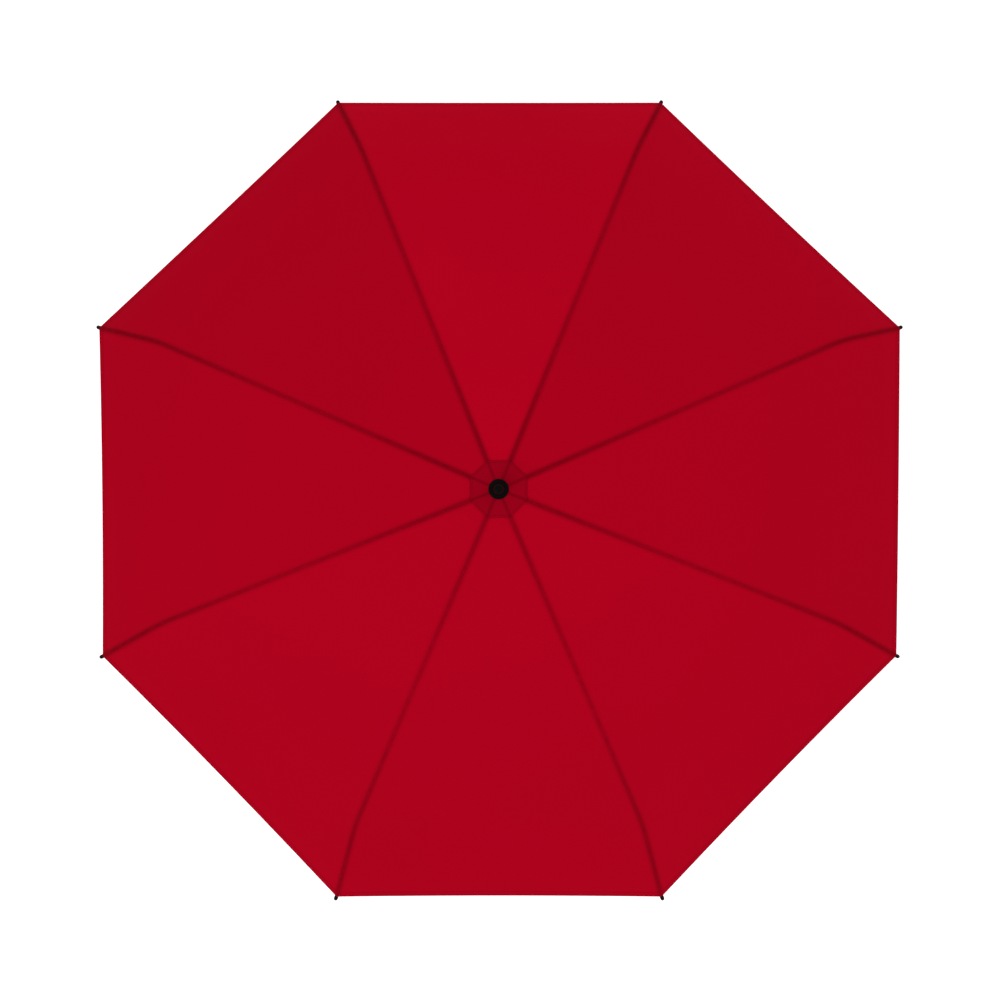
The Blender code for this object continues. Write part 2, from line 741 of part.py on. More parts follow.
def make_tie_strap():
    """Strap that hangs from the hem beside a rib tip, with a snap near its lower end."""
    top = rib_point(STRAP_AT, -STRAP_DROP)
    turn = azimuth(STRAP_RIB - 1)
    place = Matrix.Rotation(turn, 3, "Z") @ top
    half_thick = 0.6 * MM
    half_wide = STRAP_WIDTH / 2
    point = 8 * MM
    outline = [
        (-half_wide, 0),
        (half_wide, 0),
        (half_wide, point - STRAP_LENGTH),
        (half_wide / 2, -STRAP_LENGTH),
        (-half_wide / 2, -STRAP_LENGTH),
        (-half_wide, point - STRAP_LENGTH),
    ]
    rings = [[Vector((x, y, z)) for y, z in outline] for x in (-half_thick, half_thick)]
    add("tie_strap", lofted("tie_strap", rings, smooth=False), "canopy_red", place, turn)
    snap = turned(
        "strap_snap",
        [(0, 0), (6 * MM, 0), (6 * MM, 1 * MM), (4.8 * MM, 1.9 * MM), (0, 1.9 * MM)],
        sides=20,
    )
    snap.transform(Matrix.Rotation(math.radians(90), 4, "Y"))
    snap.transform(Matrix.Translation((half_thick + GAP, 0, 16 * MM - STRAP_LENGTH)))
    add("strap_snap", snap, "black_plastic", place, turn)


def main():
    for old in list(bpy.data.objects):
        bpy.data.objects.remove(old, do_unlink=True)
    make_shaft()
    make_crown()
    make_ferrule()
    make_canopy()
    make_rosette()
    make_rib_inner()
    make_rib_outer()
    make_tips()
    make_stretchers()
    spring_top = make_runner()
    make_main_spring(spring_top)
    make_handle()
    make_collar_and_button()
    make_tie_strap()


main()
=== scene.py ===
"""Looks of a red golf umbrella: cloth gores, seams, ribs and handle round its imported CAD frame.

Every rib's pieces are worked out in the rib's own plane, as (radius, height), and turned to the rib's
azimuth. The cloth is one surface, cut into bands from crown to hem, along the ribs and half way between
them, so that it can fold.
"""

import json
import math
from functools import partial

import bmesh
import bpy
import numpy as np
from mathutils import Matrix, Vector


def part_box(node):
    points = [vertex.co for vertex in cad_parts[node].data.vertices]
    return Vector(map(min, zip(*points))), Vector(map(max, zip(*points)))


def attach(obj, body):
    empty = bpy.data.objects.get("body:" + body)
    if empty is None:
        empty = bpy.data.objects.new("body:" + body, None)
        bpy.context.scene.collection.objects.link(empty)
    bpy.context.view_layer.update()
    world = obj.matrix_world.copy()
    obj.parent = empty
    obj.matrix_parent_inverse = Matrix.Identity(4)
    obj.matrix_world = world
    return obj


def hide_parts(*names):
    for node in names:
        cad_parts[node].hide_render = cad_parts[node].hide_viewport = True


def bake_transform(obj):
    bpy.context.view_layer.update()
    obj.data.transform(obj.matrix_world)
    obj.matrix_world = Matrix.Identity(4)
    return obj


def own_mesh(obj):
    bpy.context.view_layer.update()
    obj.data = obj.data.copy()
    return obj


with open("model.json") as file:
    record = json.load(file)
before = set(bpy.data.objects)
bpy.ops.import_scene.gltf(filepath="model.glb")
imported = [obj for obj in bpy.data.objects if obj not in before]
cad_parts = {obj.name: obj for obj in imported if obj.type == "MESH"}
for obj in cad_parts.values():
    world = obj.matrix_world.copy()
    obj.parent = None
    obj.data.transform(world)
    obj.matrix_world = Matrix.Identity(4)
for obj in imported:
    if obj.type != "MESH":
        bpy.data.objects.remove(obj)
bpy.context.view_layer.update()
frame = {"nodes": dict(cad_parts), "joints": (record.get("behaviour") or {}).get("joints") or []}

MM = 0.001
UP = Vector((0, 0, 1))
Z = np.array((0, 0, 1.0))
JOINTS = {j["name"]: j for j in frame["joints"]}


def plane_point(joint):
    """(radius, height) of a joint of the first rib."""
    x, y, z = JOINTS[joint]["pos_m"]
    return math.hypot(x, y), z


# ---- driving dimensions, as in the CAD model ----
RIBS = 8
FIRST_AZIMUTH = math.radians(22.5)
STEP = math.tau / RIBS
RIB_LENGTH = 685.8 * MM
CROWN_SLOPE = math.radians(8)
RIM_SLOPE = math.radians(42)
BEND_R = RIB_LENGTH / (RIM_SLOPE - CROWN_SLOPE)
FLEX_AT = 308 * MM
FLEX_SLOPE = CROWN_SLOPE + FLEX_AT / BEND_R
JOINER_AT = 300 * MM
HEM_AT = RIB_LENGTH - 10 * MM
HALF_GORE_COLS = 14
CAP_AT = RIB_LENGTH - 22 * MM
PIVOT_R, CROWN_Z = plane_point("rib_fold_1")
RIVET_R, RIVET_Z = plane_point("stretcher_swing_1")
STRETCHER_LENGTH = 340 * MM
RUNNER_Z = RIVET_Z - math.sqrt(STRETCHER_LENGTH**2 - (RIVET_R - PIVOT_R) ** 2)
RUNNER_TRAVEL = -JOINTS["runner_slide"]["range_m"][0]

# ---- cloth ----
CLOTH = 0.4 * MM
CROWN_LIFT = 6.5 * MM  # middle of the cloth above the rib's axis
CLOTH_LIFT = 6 * MM
CORNER_LIFT = 4 * MM
ROSETTE_LIFT = 1.3 * MM  # above the cloth
ROSETTE_HALF = 0.35 * MM  # half its thickness
SEAM_HALF = 2.6 * MM
SEAM_LIFT = 0.35 * MM
SEAM_EDGE = 0.06 * MM
HEM_WIDTH = 9 * MM
HEM_DOUBLED = 0.35 * MM  # thicker below, where the hem is turned in
SAG = 11 * MM  # where the gore is hollowest
SAG_PEAK = 27 / 4  # brings the highest value of f * f * (1 - f) to 1
SAG_ENDS = 1.03  # share of the radius
HEM_SAG = 2 * MM
RIPPLE = 0.35 * MM
CROWN_FROM = -6.5 * MM  # along the rib
CROWN_TO = 4 * MM
ROSETTE_TO = 25.6 * MM
TUCK = 7 * MM  # how far each band of cloth reaches under the one above
TUCK_TOP = 0.26 * MM  # below the cloth's middle
TUCK_EDGE = 0.05 * MM
TUCK_ROOT = 0.2 * MM

# Bands of cloth from the crown to the hem: the ribs' part that it rides on, where it begins along the
# rib, rows, the share of its width that it keeps when folded, and the tilt of its folds in degrees.
BANDS = (
    ("crown", "inner", CROWN_TO, 6, 0.64, 0),
    ("upper", "inner", 45 * MM, 6, 0.46, 2),
    ("middle", "inner", 90 * MM, 8, 0.31, 3),
    ("lower", "inner", 155 * MM, 8, 0.21, 5),
    ("flex", "inner", 225 * MM, 10, 0.18, 10),
    ("knee", "outer", FLEX_AT, 8, 0.125, 12),
    ("skirt", "outer", 380 * MM, 8, 0.115, 11),
    ("fall", "outer", 470 * MM, 8, 0.112, 11),
    ("rim", "outer", 565 * MM, 14, 0.1, 10),
)

# The pull of the cloth on each rib's tip, and on its seam before the last sixth, from uneven tension.
TIP_PULL = np.array(
    [(5, -4), (-3.5, -15.5), (6, -15.5), (-2.5, -4), (2.5, -2.7), (3.7, -13.5), (-2.5, -13.5), (0, -2)]
) * MM
SEAM_PULL = np.array(
    [(0, 15), (0, 14.5), (0, 14.5), (0, 13.5), (0, 11.5), (-7, 17), (7, 17), (0, 11.5)]
) * MM
# How far each gore's hem is drawn in at its middle, for the gore from rib k to rib k + 1.
HEM_CURVE = np.array((1.7, -0.3, 0.6, 2.2, 2.8, 1.5, 2.8, -1.5)) * MM
KINK_AT = 0.84
KINK_ROUND = 0.22
# Painted light and shade: each gore's cloth made lighter or darker for how the light falls on its side of the
# canopy.
PANEL_LIGHTING = (0.9, 1.0, 0.9, 0.915, 0.945, 0.94, 0.95, 0.915)  # gore from rib k to rib k + 1
# Strength of the painted shade along each seam, for seam k.
SEAM_SHADE = (0.46, 0.46, 0.46, 0.46, 0.42, 0.36, 0.36, 0.42)

# ---- ribs, crown, runner and shaft ----
ROD_RADII = (1.6 * MM, 1.35 * MM, 1 * MM)  # at the crown, the flex and the tip
ROD_FOLLOWS = 0.1  # the share of its seam's sideways drift that a rod takes
TIP_R = 2.9 * MM
EYE_R = 2.6 * MM
EYE_HALF = 1.2 * MM
SHAFT_R = 7 * MM
SHAFT_BORE_R = 5 * MM
SLIDE_R = 7.3 * MM
SHAFT_TOP = CROWN_Z + 17 * MM
HUB_R = 20 * MM
HUB_CORE_R = 12.5 * MM
HUB_SLOT = 4.2 * MM
PIN_DROP = 14 * MM
PIN_R = 1 * MM
WIRE_R = 0.7 * MM
SLEEVE_R = 11.5 * MM
HEAD_HALF = 6 * MM
RUNNER_FOOT = -36 * MM  # below the runner's pivots
CATCH_R = 10.6 * MM
CATCH_DEPTH = 12.5 * MM
LIP_R = 13 * MM
LIP_HEIGHT = 3 * MM
KEY_LOW, KEY_HIGH = -20 * MM, -12 * MM
KEY_HALF = 0.8 * MM
SPRING_FOOT = 20.5 * MM
SPRING_TURNS = 32
SPRING_R = 3.9 * MM
SPRING_WIRE_R = 0.5 * MM
PLUNGER_HEIGHT = 12 * MM

# ---- handle and strap ----
GAP = 0.3 * MM
END_CAP = 6 * MM
GRIP_R = 18 * MM
GRIP_TOP = 168 * MM
CORE_R = 10.5 * MM
COLLAR_R = 16.5 * MM
COLLAR_TOP = RUNNER_Z - RUNNER_TRAVEL + RUNNER_FOOT - 2 * GAP
BUTTON_Z = 189 * MM
BUTTON_R = 5 * MM
BUTTON_PROUD = 2.6 * MM
BUTTON_BACK = 10.2 * MM
BUTTON_TRAVEL = 1.4 * MM
TONGUE_OUT = 9.9 * MM
STRAP_RIB = 6
STRAP_AT = RIB_LENGTH - 24 * MM
STRAP_DROP = 7 * MM
STRAP_LENGTH = 150 * MM
STRAP_HALF = 11 * MM
STRAP_THICK = 1.2 * MM
STRAP_ABOVE = 6 * MM  # its top, above the hinge
STRAP_TIP = 8 * MM  # length of its rounded end


# ---- the ribs' and the cloth's shape ----


def rib_curve(s, lift=0.0):
    """(radius, height) at the length s along the ribs, and lift above their axis."""
    a = CROWN_SLOPE + np.asarray(s) / BEND_R
    radius = PIVOT_R + BEND_R * (np.sin(a) - math.sin(CROWN_SLOPE)) + lift * np.sin(a)
    height = CROWN_Z + BEND_R * (np.cos(a) - math.cos(CROWN_SLOPE)) + lift * np.cos(a)
    return radius, height


CORNER_R = float(rib_curve(HEM_AT)[0])
FLEX_R, FLEX_Z = (float(v) for v in rib_curve(FLEX_AT))


def azimuth(k):
    return FIRST_AZIMUTH + k * STEP


def radial(k):
    return np.array((math.cos(azimuth(k)), math.sin(azimuth(k)), 0.0))


def tangent(k):
    return np.array((-math.sin(azimuth(k)), math.cos(azimuth(k)), 0.0))


def smooth(x):
    x = np.clip(x, 0, 1)
    return x * x * (3 - 2 * x)


def share(s):
    """From 0 at the crown to 1 at the canopy's corner, along the radius."""
    return np.maximum((rib_curve(s)[0] - PIVOT_R) / (CORNER_R - PIVOT_R), 0)


def drift(k, s):
    """Where the cloth's tension takes the seam over rib k, sideways and in or out."""
    f = share(s)
    rise, fall = f / KINK_AT, (1 - f) / (1 - KINK_AT)
    close = np.maximum(KINK_ROUND - np.abs(rise - fall), 0) / KINK_ROUND
    tent = np.minimum(rise, fall) - close**2 * KINK_ROUND / 4
    flat = f[..., None] * TIP_PULL[k % RIBS] + tent[..., None] * SEAM_PULL[k % RIBS]
    return np.concatenate([flat, np.zeros(flat.shape[:-1] + (1,))], axis=-1)


def cloth_lift(s):
    near = smooth((s - 8 * MM) / (45 * MM))
    far = smooth((s - (HEM_AT - 40 * MM)) / (40 * MM))
    return CROWN_LIFT + (CLOTH_LIFT - CROWN_LIFT) * near + (CORNER_LIFT - CLOTH_LIFT) * far


def on_plane(k, s, above=0.0):
    """Points of rib k's plane, at the lengths s along the rib and above its axis."""
    radius, height = rib_curve(s, above)
    point = np.asarray(radius)[..., None] * radial(k)
    point[..., 2] += height
    return point


def seam_line(k, s):
    """Points of the cloth over rib k."""
    s = np.asarray(s, float)
    return on_plane(k, s, cloth_lift(s)) + drift(k, s)


def gore_width(gore, s):
    return np.linalg.norm(seam_line(gore + 1, s) - seam_line(gore, s), axis=-1)


def cloth_at(gore, s, u):
    """Points of the gore between rib gore and the next one: s along, and u from 0 to 1 across."""
    s, u = np.broadcast_arrays(np.asarray(s, float), np.asarray(u, float))
    near, far = seam_line(gore, s), seam_line(gore + 1, s)
    point = near + (far - near) * u[..., None]
    f = share(s)
    across = 4 * u * (1 - u)
    hollow = SAG * SAG_PEAK * f**2 * np.clip(SAG_ENDS - f, 0, 1) + HEM_SAG * f**3
    # faint pulls that run in from the corners and along the seams
    edge = np.minimum(u, 1 - u) * np.linalg.norm(far - near, axis=-1)
    pull = np.sin(edge / (17 * MM) + 9 * f) * np.exp(-edge / (55 * MM)) * smooth(edge / (14 * MM))
    ripple = RIPPLE * pull * smooth((f - 0.25) / 0.4)
    point[..., 2] -= hollow * across + ripple
    return point


def cloth_normal(gore, s, u):
    """Unit normals of the gore's surface, pointing up and out."""
    ds, du = 1e-4, 1e-3
    s, u = np.broadcast_arrays(np.asarray(s, float), np.asarray(u, float))
    u0, u1 = np.maximum(u - du, 0), np.minimum(u + du, 1)
    along = cloth_at(gore, s + ds, u) - cloth_at(gore, s - ds, u)
    across = cloth_at(gore, s, u1) - cloth_at(gore, s, u0)
    return unit(np.cross(along, across))


def cut_line(u):
    """Length along the rib of the cut between inner and outer cloth, at u across the gore."""
    along = np.array((math.cos(FLEX_SLOPE), -math.sin(FLEX_SLOPE)))
    s = np.full(np.shape(u), FLEX_AT)
    for _ in range(12):
        radius, height = rib_curve(s, CLOTH_LIFT)
        inward = 1 - np.minimum(u, 1 - u) * (1 - math.cos(STEP))
        off = (radius * inward - FLEX_R) * along[0] + (height - FLEX_Z) * along[1]
        s = s - off
    return s


# ---- meshes ----


def stepped(r, z, *steps):
    """Points of an outline, each this many millimetres from (r, z)."""
    return [(r + out * MM, z + up * MM) for out, up in steps]


def unit(vectors):
    return vectors / np.linalg.norm(vectors, axis=-1, keepdims=True)


def store(mesh, key, value):
    """A number, or three, kept on each vertex for the mesh's material."""
    value = np.asarray(value, np.float32)
    kind, field = ("FLOAT_VECTOR", "vector") if value.ndim == 2 else ("FLOAT", "value")
    mesh.attributes.new(key, kind, "POINT").data.foreach_set(field, value.ravel())


def shell(name, point, normal, above, below, values):
    """A closed sheet round a grid of points with unit normals, from its thickness above and below them.
    values are numbers kept on its vertices."""
    rows, cols = point.shape[:2]
    count = rows * cols
    top = point + normal * np.asarray(above)[..., None]
    bottom = point - normal * np.asarray(below)[..., None]
    points = np.concatenate([top.reshape(-1, 3), bottom.reshape(-1, 3)])
    normals = np.concatenate([normal.reshape(-1, 3), -normal.reshape(-1, 3)])
    index = np.arange(count).reshape(rows, cols)
    a, b, c, d = index[:-1, :-1], index[1:, :-1], index[1:, 1:], index[:-1, 1:]
    faces = np.stack([a, b, c, d], axis=-1).reshape(-1, 4)
    under = faces[:, ::-1] + count
    loop = np.concatenate([index[0, :], index[1:, -1], index[-1, -2::-1], index[-2:0:-1, 0]])
    after = np.roll(loop, -1)
    rim = np.stack([after, loop, loop + count, after + count], axis=-1)[:, ::-1]
    first = points[faces[0]]
    outward = np.cross(first[1] - first[0], first[2] - first[1])
    if outward @ normals[faces[0][0]] < 0:
        faces, under, rim = faces[:, ::-1], under[:, ::-1], rim[:, ::-1]
    mesh = bpy.data.meshes.new(name)
    everything = np.concatenate([faces, under, rim])
    mesh.from_pydata(points.tolist(), [], everything.tolist())
    mesh.polygons.foreach_set("use_smooth", np.ones(len(mesh.polygons), bool))
    loops = np.empty(len(mesh.loops), int)
    mesh.loops.foreach_get("vertex_index", loops)
    normals = normals[loops]
    normals[4 * (len(faces) + len(under)) :] = 0
    for key, value in values.items():
        flat = value.reshape(-1, 3) if value.ndim == 3 else value.ravel()
        store(mesh, key, np.concatenate([flat, flat]))
    mesh.normals_split_custom_set(normals.tolist())
    mesh.update()
    return mesh


def put(name, mesh, look, body=None, replaces=()):
    """A piece of the object, which rides on a body where one is given."""
    if not mesh.materials:
        mesh.materials.append(look)
    made = bpy.data.objects.new(name, mesh)
    bpy.context.scene.collection.objects.link(made)
    if body:
        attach(made, body)
    if replaces:
        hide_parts(*replaces)
    return made


def finished(bm, name, angle=35):
    bmesh.ops.recalc_face_normals(bm, faces=bm.faces)
    mesh = bpy.data.meshes.new(name)
    bm.to_mesh(mesh)
    bm.free()
    mesh.shade_smooth()
    mesh.set_sharp_from_angle(angle=math.radians(angle))
    return mesh


def bridge(bm, row, after):
    """Faces between two closed rings of points."""
    for j in range(len(row)):
        n = (j + 1) % len(row)
        bm.faces.new((row[j], row[n], after[n], after[j]))


def turned(name, profile, sides=96, angle=35):
    """A closed outline of (radius, height) points spun round the Z axis."""
    bm = bmesh.new()
    points = [bm.verts.new((r, 0, z)) for r, z in profile]
    edges = [bm.edges.new((p, points[(k + 1) % len(points)])) for k, p in enumerate(points)]
    bmesh.ops.spin(bm, geom=edges, axis=(0, 0, 1), cent=(0, 0, 0), steps=sides, angle=math.tau)
    bmesh.ops.remove_doubles(bm, verts=bm.verts, dist=0.002 * MM)
    return finished(bm, name, angle)


def tube(name, path, radii, sides=16):
    """A round rod along a path of points, with one radius or a radius at each."""
    path = np.asarray(path, float)
    forward = unit(np.gradient(path, axis=0))
    side = unit(np.cross(forward, Z))
    up = np.cross(side, forward)
    turn = np.arange(sides) * math.tau / sides
    ring = np.cos(turn)[None, :, None] * side[:, None] + np.sin(turn)[None, :, None] * up[:, None]
    points = path[:, None] + ring * np.broadcast_to(radii, len(path))[:, None, None]
    bm = bmesh.new()
    made = [[bm.verts.new(p) for p in row] for row in points]
    for row, after in zip(made, made[1:]):
        bridge(bm, row, after)
    bm.faces.new(made[0])
    bm.faces.new(made[-1])
    return finished(bm, name, 50)


def capsule(a, b, ra, rb, steps=12):
    """Outline, in the plane (x, z), of the hull round two circles."""
    a, b = np.asarray(a, float), np.asarray(b, float)
    ahead = math.atan2(*(b - a)[::-1])
    lean = math.acos((ra - rb) / np.linalg.norm(b - a))
    back = np.linspace(ahead + lean, ahead + math.tau - lean, steps + 1)
    front = np.linspace(ahead - lean, ahead + lean, steps + 1)
    first = a + ra * np.stack([np.cos(back), np.sin(back)], axis=-1)
    last = b + rb * np.stack([np.cos(front), np.sin(front)], axis=-1)
    return [tuple(p) for p in np.concatenate([first, last])]


def plate(name, outline, y_from, y_to, bevel=0.0):
    """A flat piece across the plane y = 0, from its outline of (x, z) points."""
    bm = bmesh.new()
    face = bm.faces.new([bm.verts.new((x, y_from, z)) for x, z in outline])
    grown = bmesh.ops.extrude_face_region(bm, geom=[face])["geom"]
    moved = [v for v in grown if isinstance(v, bmesh.types.BMVert)]
    bmesh.ops.translate(bm, verts=moved, vec=(0, y_to - y_from, 0))
    bmesh.ops.recalc_face_normals(bm, faces=bm.faces)
    if bevel:
        rims = [e for e in bm.edges if abs(e.verts[0].co.y - e.verts[1].co.y) < 1e-9]
        bmesh.ops.bevel(bm, geom=rims, offset=bevel, segments=2, profile=0.6, affect="EDGES")
    return finished(bm, name)


def laid(mesh, x, y, z):
    """The mesh with its axis turned along Y, at (x, y, z)."""
    mesh.transform(Matrix.Translation((x, y, z)) @ Matrix.Rotation(math.radians(90), 4, "X"))
    return mesh


def ring_y(name, inner, outer, half, at, sides=40, bevel=0.3 * MM):
    """A flat ring, or a disc where inner is 0, whose axis runs along Y through at = (x, z)."""
    profile = [(inner, -half), (outer - bevel, -half), (outer, bevel - half)]
    profile += [(outer, half - bevel), (outer - bevel, half), (inner, half)]
    return laid(turned(name, profile, sides), at[0], 0, at[1])


def aimed(mesh, start, end):
    """The mesh with its foot at start and its Z axis towards end."""
    along = Vector(end) - Vector(start)
    turn = UP.rotation_difference(along.normalized()).to_matrix().to_4x4()
    mesh.transform(Matrix.Translation(Vector(start)) @ turn)
    return mesh


def combined(name, base, others, operation="UNION", angle=35):
    """The base mesh joined with, or cut by, each of the other meshes."""
    host = bpy.data.objects.new(name, base)
    bpy.context.scene.collection.objects.link(host)
    helpers = []
    for k, mesh in enumerate(others):
        helper = bpy.data.objects.new(f"{name}_helper_{k}", mesh)
        bpy.context.scene.collection.objects.link(helper)
        step = host.modifiers.new(f"step_{k}", "BOOLEAN")
        step.operation = operation
        step.object = helper
        step.solver = "EXACT"
        helpers.append(helper)
    bpy.context.view_layer.update()
    depsgraph = bpy.context.evaluated_depsgraph_get()
    result = bpy.data.meshes.new_from_object(host.evaluated_get(depsgraph))
    result.name = name
    for helper in [host, *helpers]:
        bpy.data.objects.remove(helper, do_unlink=True)
    result.materials.clear()
    result.shade_smooth()
    result.set_sharp_from_angle(angle=math.radians(angle))
    return result


def rounded_box(name, low, high, bevel):
    bm = bmesh.new()
    bmesh.ops.create_cube(bm, size=1)
    bmesh.ops.scale(bm, verts=bm.verts, vec=Vector(high) - Vector(low))
    bmesh.ops.translate(bm, verts=bm.verts, vec=(Vector(low) + Vector(high)) / 2)
    if bevel:
        bmesh.ops.bevel(bm, geom=list(bm.edges), offset=bevel, segments=3, profile=0.5, affect="EDGES")
    return finished(bm, name)


def threaded(mesh, x_axis, y_axis):
    """Keeps each vertex's place along two directions, for the threads or fibres of its material."""
    flat = np.array([v.co for v in mesh.vertices])
    rest = np.cross(x_axis, y_axis)
    store(mesh, "thread", np.stack([flat @ x_axis, flat @ y_axis, flat @ rest], axis=-1))
    return mesh


def on_every_rib(name, mesh, look, node):
    """One copy of a mesh, made in the plane y = 0, at every rib. Its body has the name of the node that it
    replaces."""
    for k in range(RIBS):
        copy = mesh.copy()
        copy.transform(Matrix.Rotation(azimuth(k), 4, "Z"))
        part = f"{node}_{k + 1}"
        put(f"{name}_{k + 1}", copy, look, part, [part])


# ---- materials ----


class Look:
    """A Principled material and short ways to add nodes to it."""

    def __init__(self, name, colour, roughness, metallic=0.0, specular=0.5):
        self.material = bpy.data.materials.new(name)
        self.material.use_nodes = True
        self.material.diffuse_color = (*colour, 1)
        self.tree = self.material.node_tree
        self.shader = self.tree.nodes["Principled BSDF"]
        self.set("Base Color", (*colour, 1))
        self.set("Roughness", roughness)
        self.set("Metallic", metallic)
        self.set("Specular IOR Level", specular)

    def set(self, socket, value):
        self.feed(self.shader.inputs[socket], value)

    def feed(self, socket, value):
        if isinstance(value, bpy.types.NodeSocket):
            self.tree.links.new(value, socket)
        else:
            socket.default_value = value

    def node(self, kind, inputs=(), output=0, **settings):
        made = self.tree.nodes.new(kind)
        for key, value in settings.items():
            setattr(made, key, value)
        for key, value in dict(inputs).items():
            self.feed(made.inputs[key], value)
        return made.outputs[output]

    def math(self, operation, a, b=0.0, c=0.0):
        return self.node("ShaderNodeMath", {0: a, 1: b, 2: c}, operation=operation)

    def stretch(self, value, low, high, to_low=0.0, to_high=1.0, kind="SMOOTHSTEP"):
        return self.node(
            "ShaderNodeMapRange",
            {"Value": value, "From Min": low, "From Max": high, "To Min": to_low, "To Max": to_high},
            interpolation_type=kind,
        )

    def kept(self, name, output="Fac"):
        return self.node("ShaderNodeAttribute", output=output, attribute_name=name)

    def place(self):
        return self.node("ShaderNodeTexCoord", output="Object")

    def noise(self, scale, vector=None, detail=2.0, roughness=0.5):
        inputs = {"Scale": scale, "Detail": detail, "Roughness": roughness}
        inputs["Vector"] = vector or self.place()
        return self.node("ShaderNodeTexNoise", inputs, output="Fac")

    def product(self, *factors):
        result = factors[0]
        for factor in factors[1:]:
            result = self.math("MULTIPLY", result, factor)
        return result

    def coat(self, colour, factor, strength, *layers, roughness=None):
        """The colour times a factor, and bumps from pairs of a height from 0 to 1 and its depth."""
        tint = self.node("ShaderNodeVectorMath", {0: colour, "Scale": factor}, operation="SCALE")
        self.set("Base Color", tint)
        height = 0.0
        for high, depth in layers:
            height = self.math("MULTIPLY_ADD", high, depth, height)
        inputs = {"Height": height, "Distance": 1.0, "Strength": strength}
        self.set("Normal", self.node("ShaderNodeBump", inputs, output="Normal"))
        if roughness is not None:
            self.set("Roughness", roughness)
        return self.material


def weave(look, vector, pitch):
    """Height from 0 to 1 of a plain weave with this pitch, on flat cloth coordinates."""
    split = look.tree.nodes.new("ShaderNodeSeparateXYZ")
    look.feed(split.inputs[0], vector)
    wave = math.tau / pitch
    warp, weft = (look.math("SINE", look.math("MULTIPLY", split.outputs[j], wave)) for j in (0, 1))
    return look.math("MULTIPLY_ADD", look.product(warp, weft), 0.5, 0.5)


def stitch_row(look, offset, run, at, stitch=2.6 * MM, filled=0.68, half=0.32 * MM):
    """1 on a row of stitches at this distance from an edge or a seam, and 0 between and beside them."""
    off = look.math("ABSOLUTE", look.math("SUBTRACT", offset, at))
    cycle = look.math("FRACT", look.math("DIVIDE", run, stitch))
    return look.product(look.math("LESS_THAN", off, half), look.math("LESS_THAN", cycle, filled))


CLOTH_RED = (0.411, 0.0, 0.0115)
ROSETTE_RED = (0.28, 0.0, 0.0085)
NEAR_BLACK = (0.0016, 0.0015, 0.0015)
RED_SHEEN = (1.0, 0.04, 0.08, 1)
WEAVE_PITCH = 0.55 * MM
WEAVE_DEPTH = 0.06 * MM


def cloth_look(name, colour, hem_width, stitch_at, falloff, fold_shade=0.93):
    """Matt polyester cloth. It reads the cloth's kept numbers: distance from the seam and from the hem,
    how strongly painted shade darkens it along the seam, each panel's painted light and shade, and flat
    coordinates for the threads."""
    look = Look(name, colour, 0.78, specular=0.012)
    thread = look.kept("thread", "Vector")
    run = look.node("ShaderNodeSeparateXYZ", {0: thread}, output=0)
    hem, seam, shade = look.kept("hem"), look.kept("seam"), look.kept("shade")
    cross = weave(look, thread, WEAVE_PITCH)
    stitches = stitch_row(look, hem, run, stitch_at)
    shaded = look.math("MULTIPLY", shade, look.stretch(seam, 0, falloff, 1, 0))
    factor = look.product(
        look.stretch(look.noise(2.2, detail=3.0), 0.3, 0.7, 0.985, 1.015),
        look.stretch(look.noise(900, thread, 1.0), 0.25, 0.75, 0.975, 1.02),
        look.stretch(cross, 0, 1, 0.975, 1.02, "LINEAR"),
        # painted light and shade, lighter or darker for each gore
        look.kept("tone_and_shade"),
        # painted shade along the seams, fading out over the falloff
        look.math("MULTIPLY_ADD", shaded, -0.9, 1),
        # painted shade near the cloth's edge: a little over the turned-in hem, and more where the cloth turns
        # under
        look.stretch(hem, hem_width, hem_width + 1 * MM, fold_shade, 1),
        look.stretch(hem, 0, 1.6 * MM, 0.85, 1),
        look.math("MULTIPLY_ADD", stitches, -0.3, 1),
    )
    look.set("Sheen Weight", 0.03)
    look.set("Sheen Roughness", 0.4)
    look.set("Sheen Tint", RED_SHEEN)
    return look.coat(
        colour,
        factor,
        0.6,
        (cross, WEAVE_DEPTH),
        (stitches, 0.12 * MM),
        (look.stretch(hem, hem_width - 1 * MM, hem_width, 1, 0), 0.25 * MM),
        (look.product(look.stretch(hem, 4 * MM, 14 * MM, 1, 0), look.noise(220, thread, 1.0)), 0.5 * MM),
        (look.noise(26, detail=4.0, roughness=0.6), 0.5 * MM),
    )


def seam_look():
    """The felled seam: doubled cloth with two rows of stitches, darker along its fold, partly from the
    doubled cloth and partly painted shade.
    """
    look = Look("seam_cloth", CLOTH_RED, 0.8, specular=0.012)
    thread = look.kept("thread", "Vector")
    split = look.tree.nodes.new("ShaderNodeSeparateXYZ")
    look.feed(split.inputs[0], thread)
    off = look.math("ABSOLUTE", split.outputs[0])
    stitches = stitch_row(look, off, split.outputs[1], 1.7 * MM)
    factor = look.product(
        # painted shade along the seam's fold
        look.math("MULTIPLY_ADD", look.kept("shade"), look.stretch(off, 0, SEAM_HALF, -1.0, -0.85), 1),
        # painted light and shade of the two gores beside the seam
        look.kept("tone_and_shade"),
        look.math("MULTIPLY_ADD", stitches, -0.25, 1),
        look.stretch(look.noise(120), 0.3, 0.7, 0.94, 1.06),
    )
    cross = weave(look, thread, WEAVE_PITCH)
    pucker = look.math("SINE", look.math("MULTIPLY", split.outputs[1], math.tau / (5.2 * MM)))
    layers = (cross, WEAVE_DEPTH), (stitches, 0.15 * MM), (pucker, 0.05 * MM)
    return look.coat(CLOTH_RED, factor, 0.7, *layers)


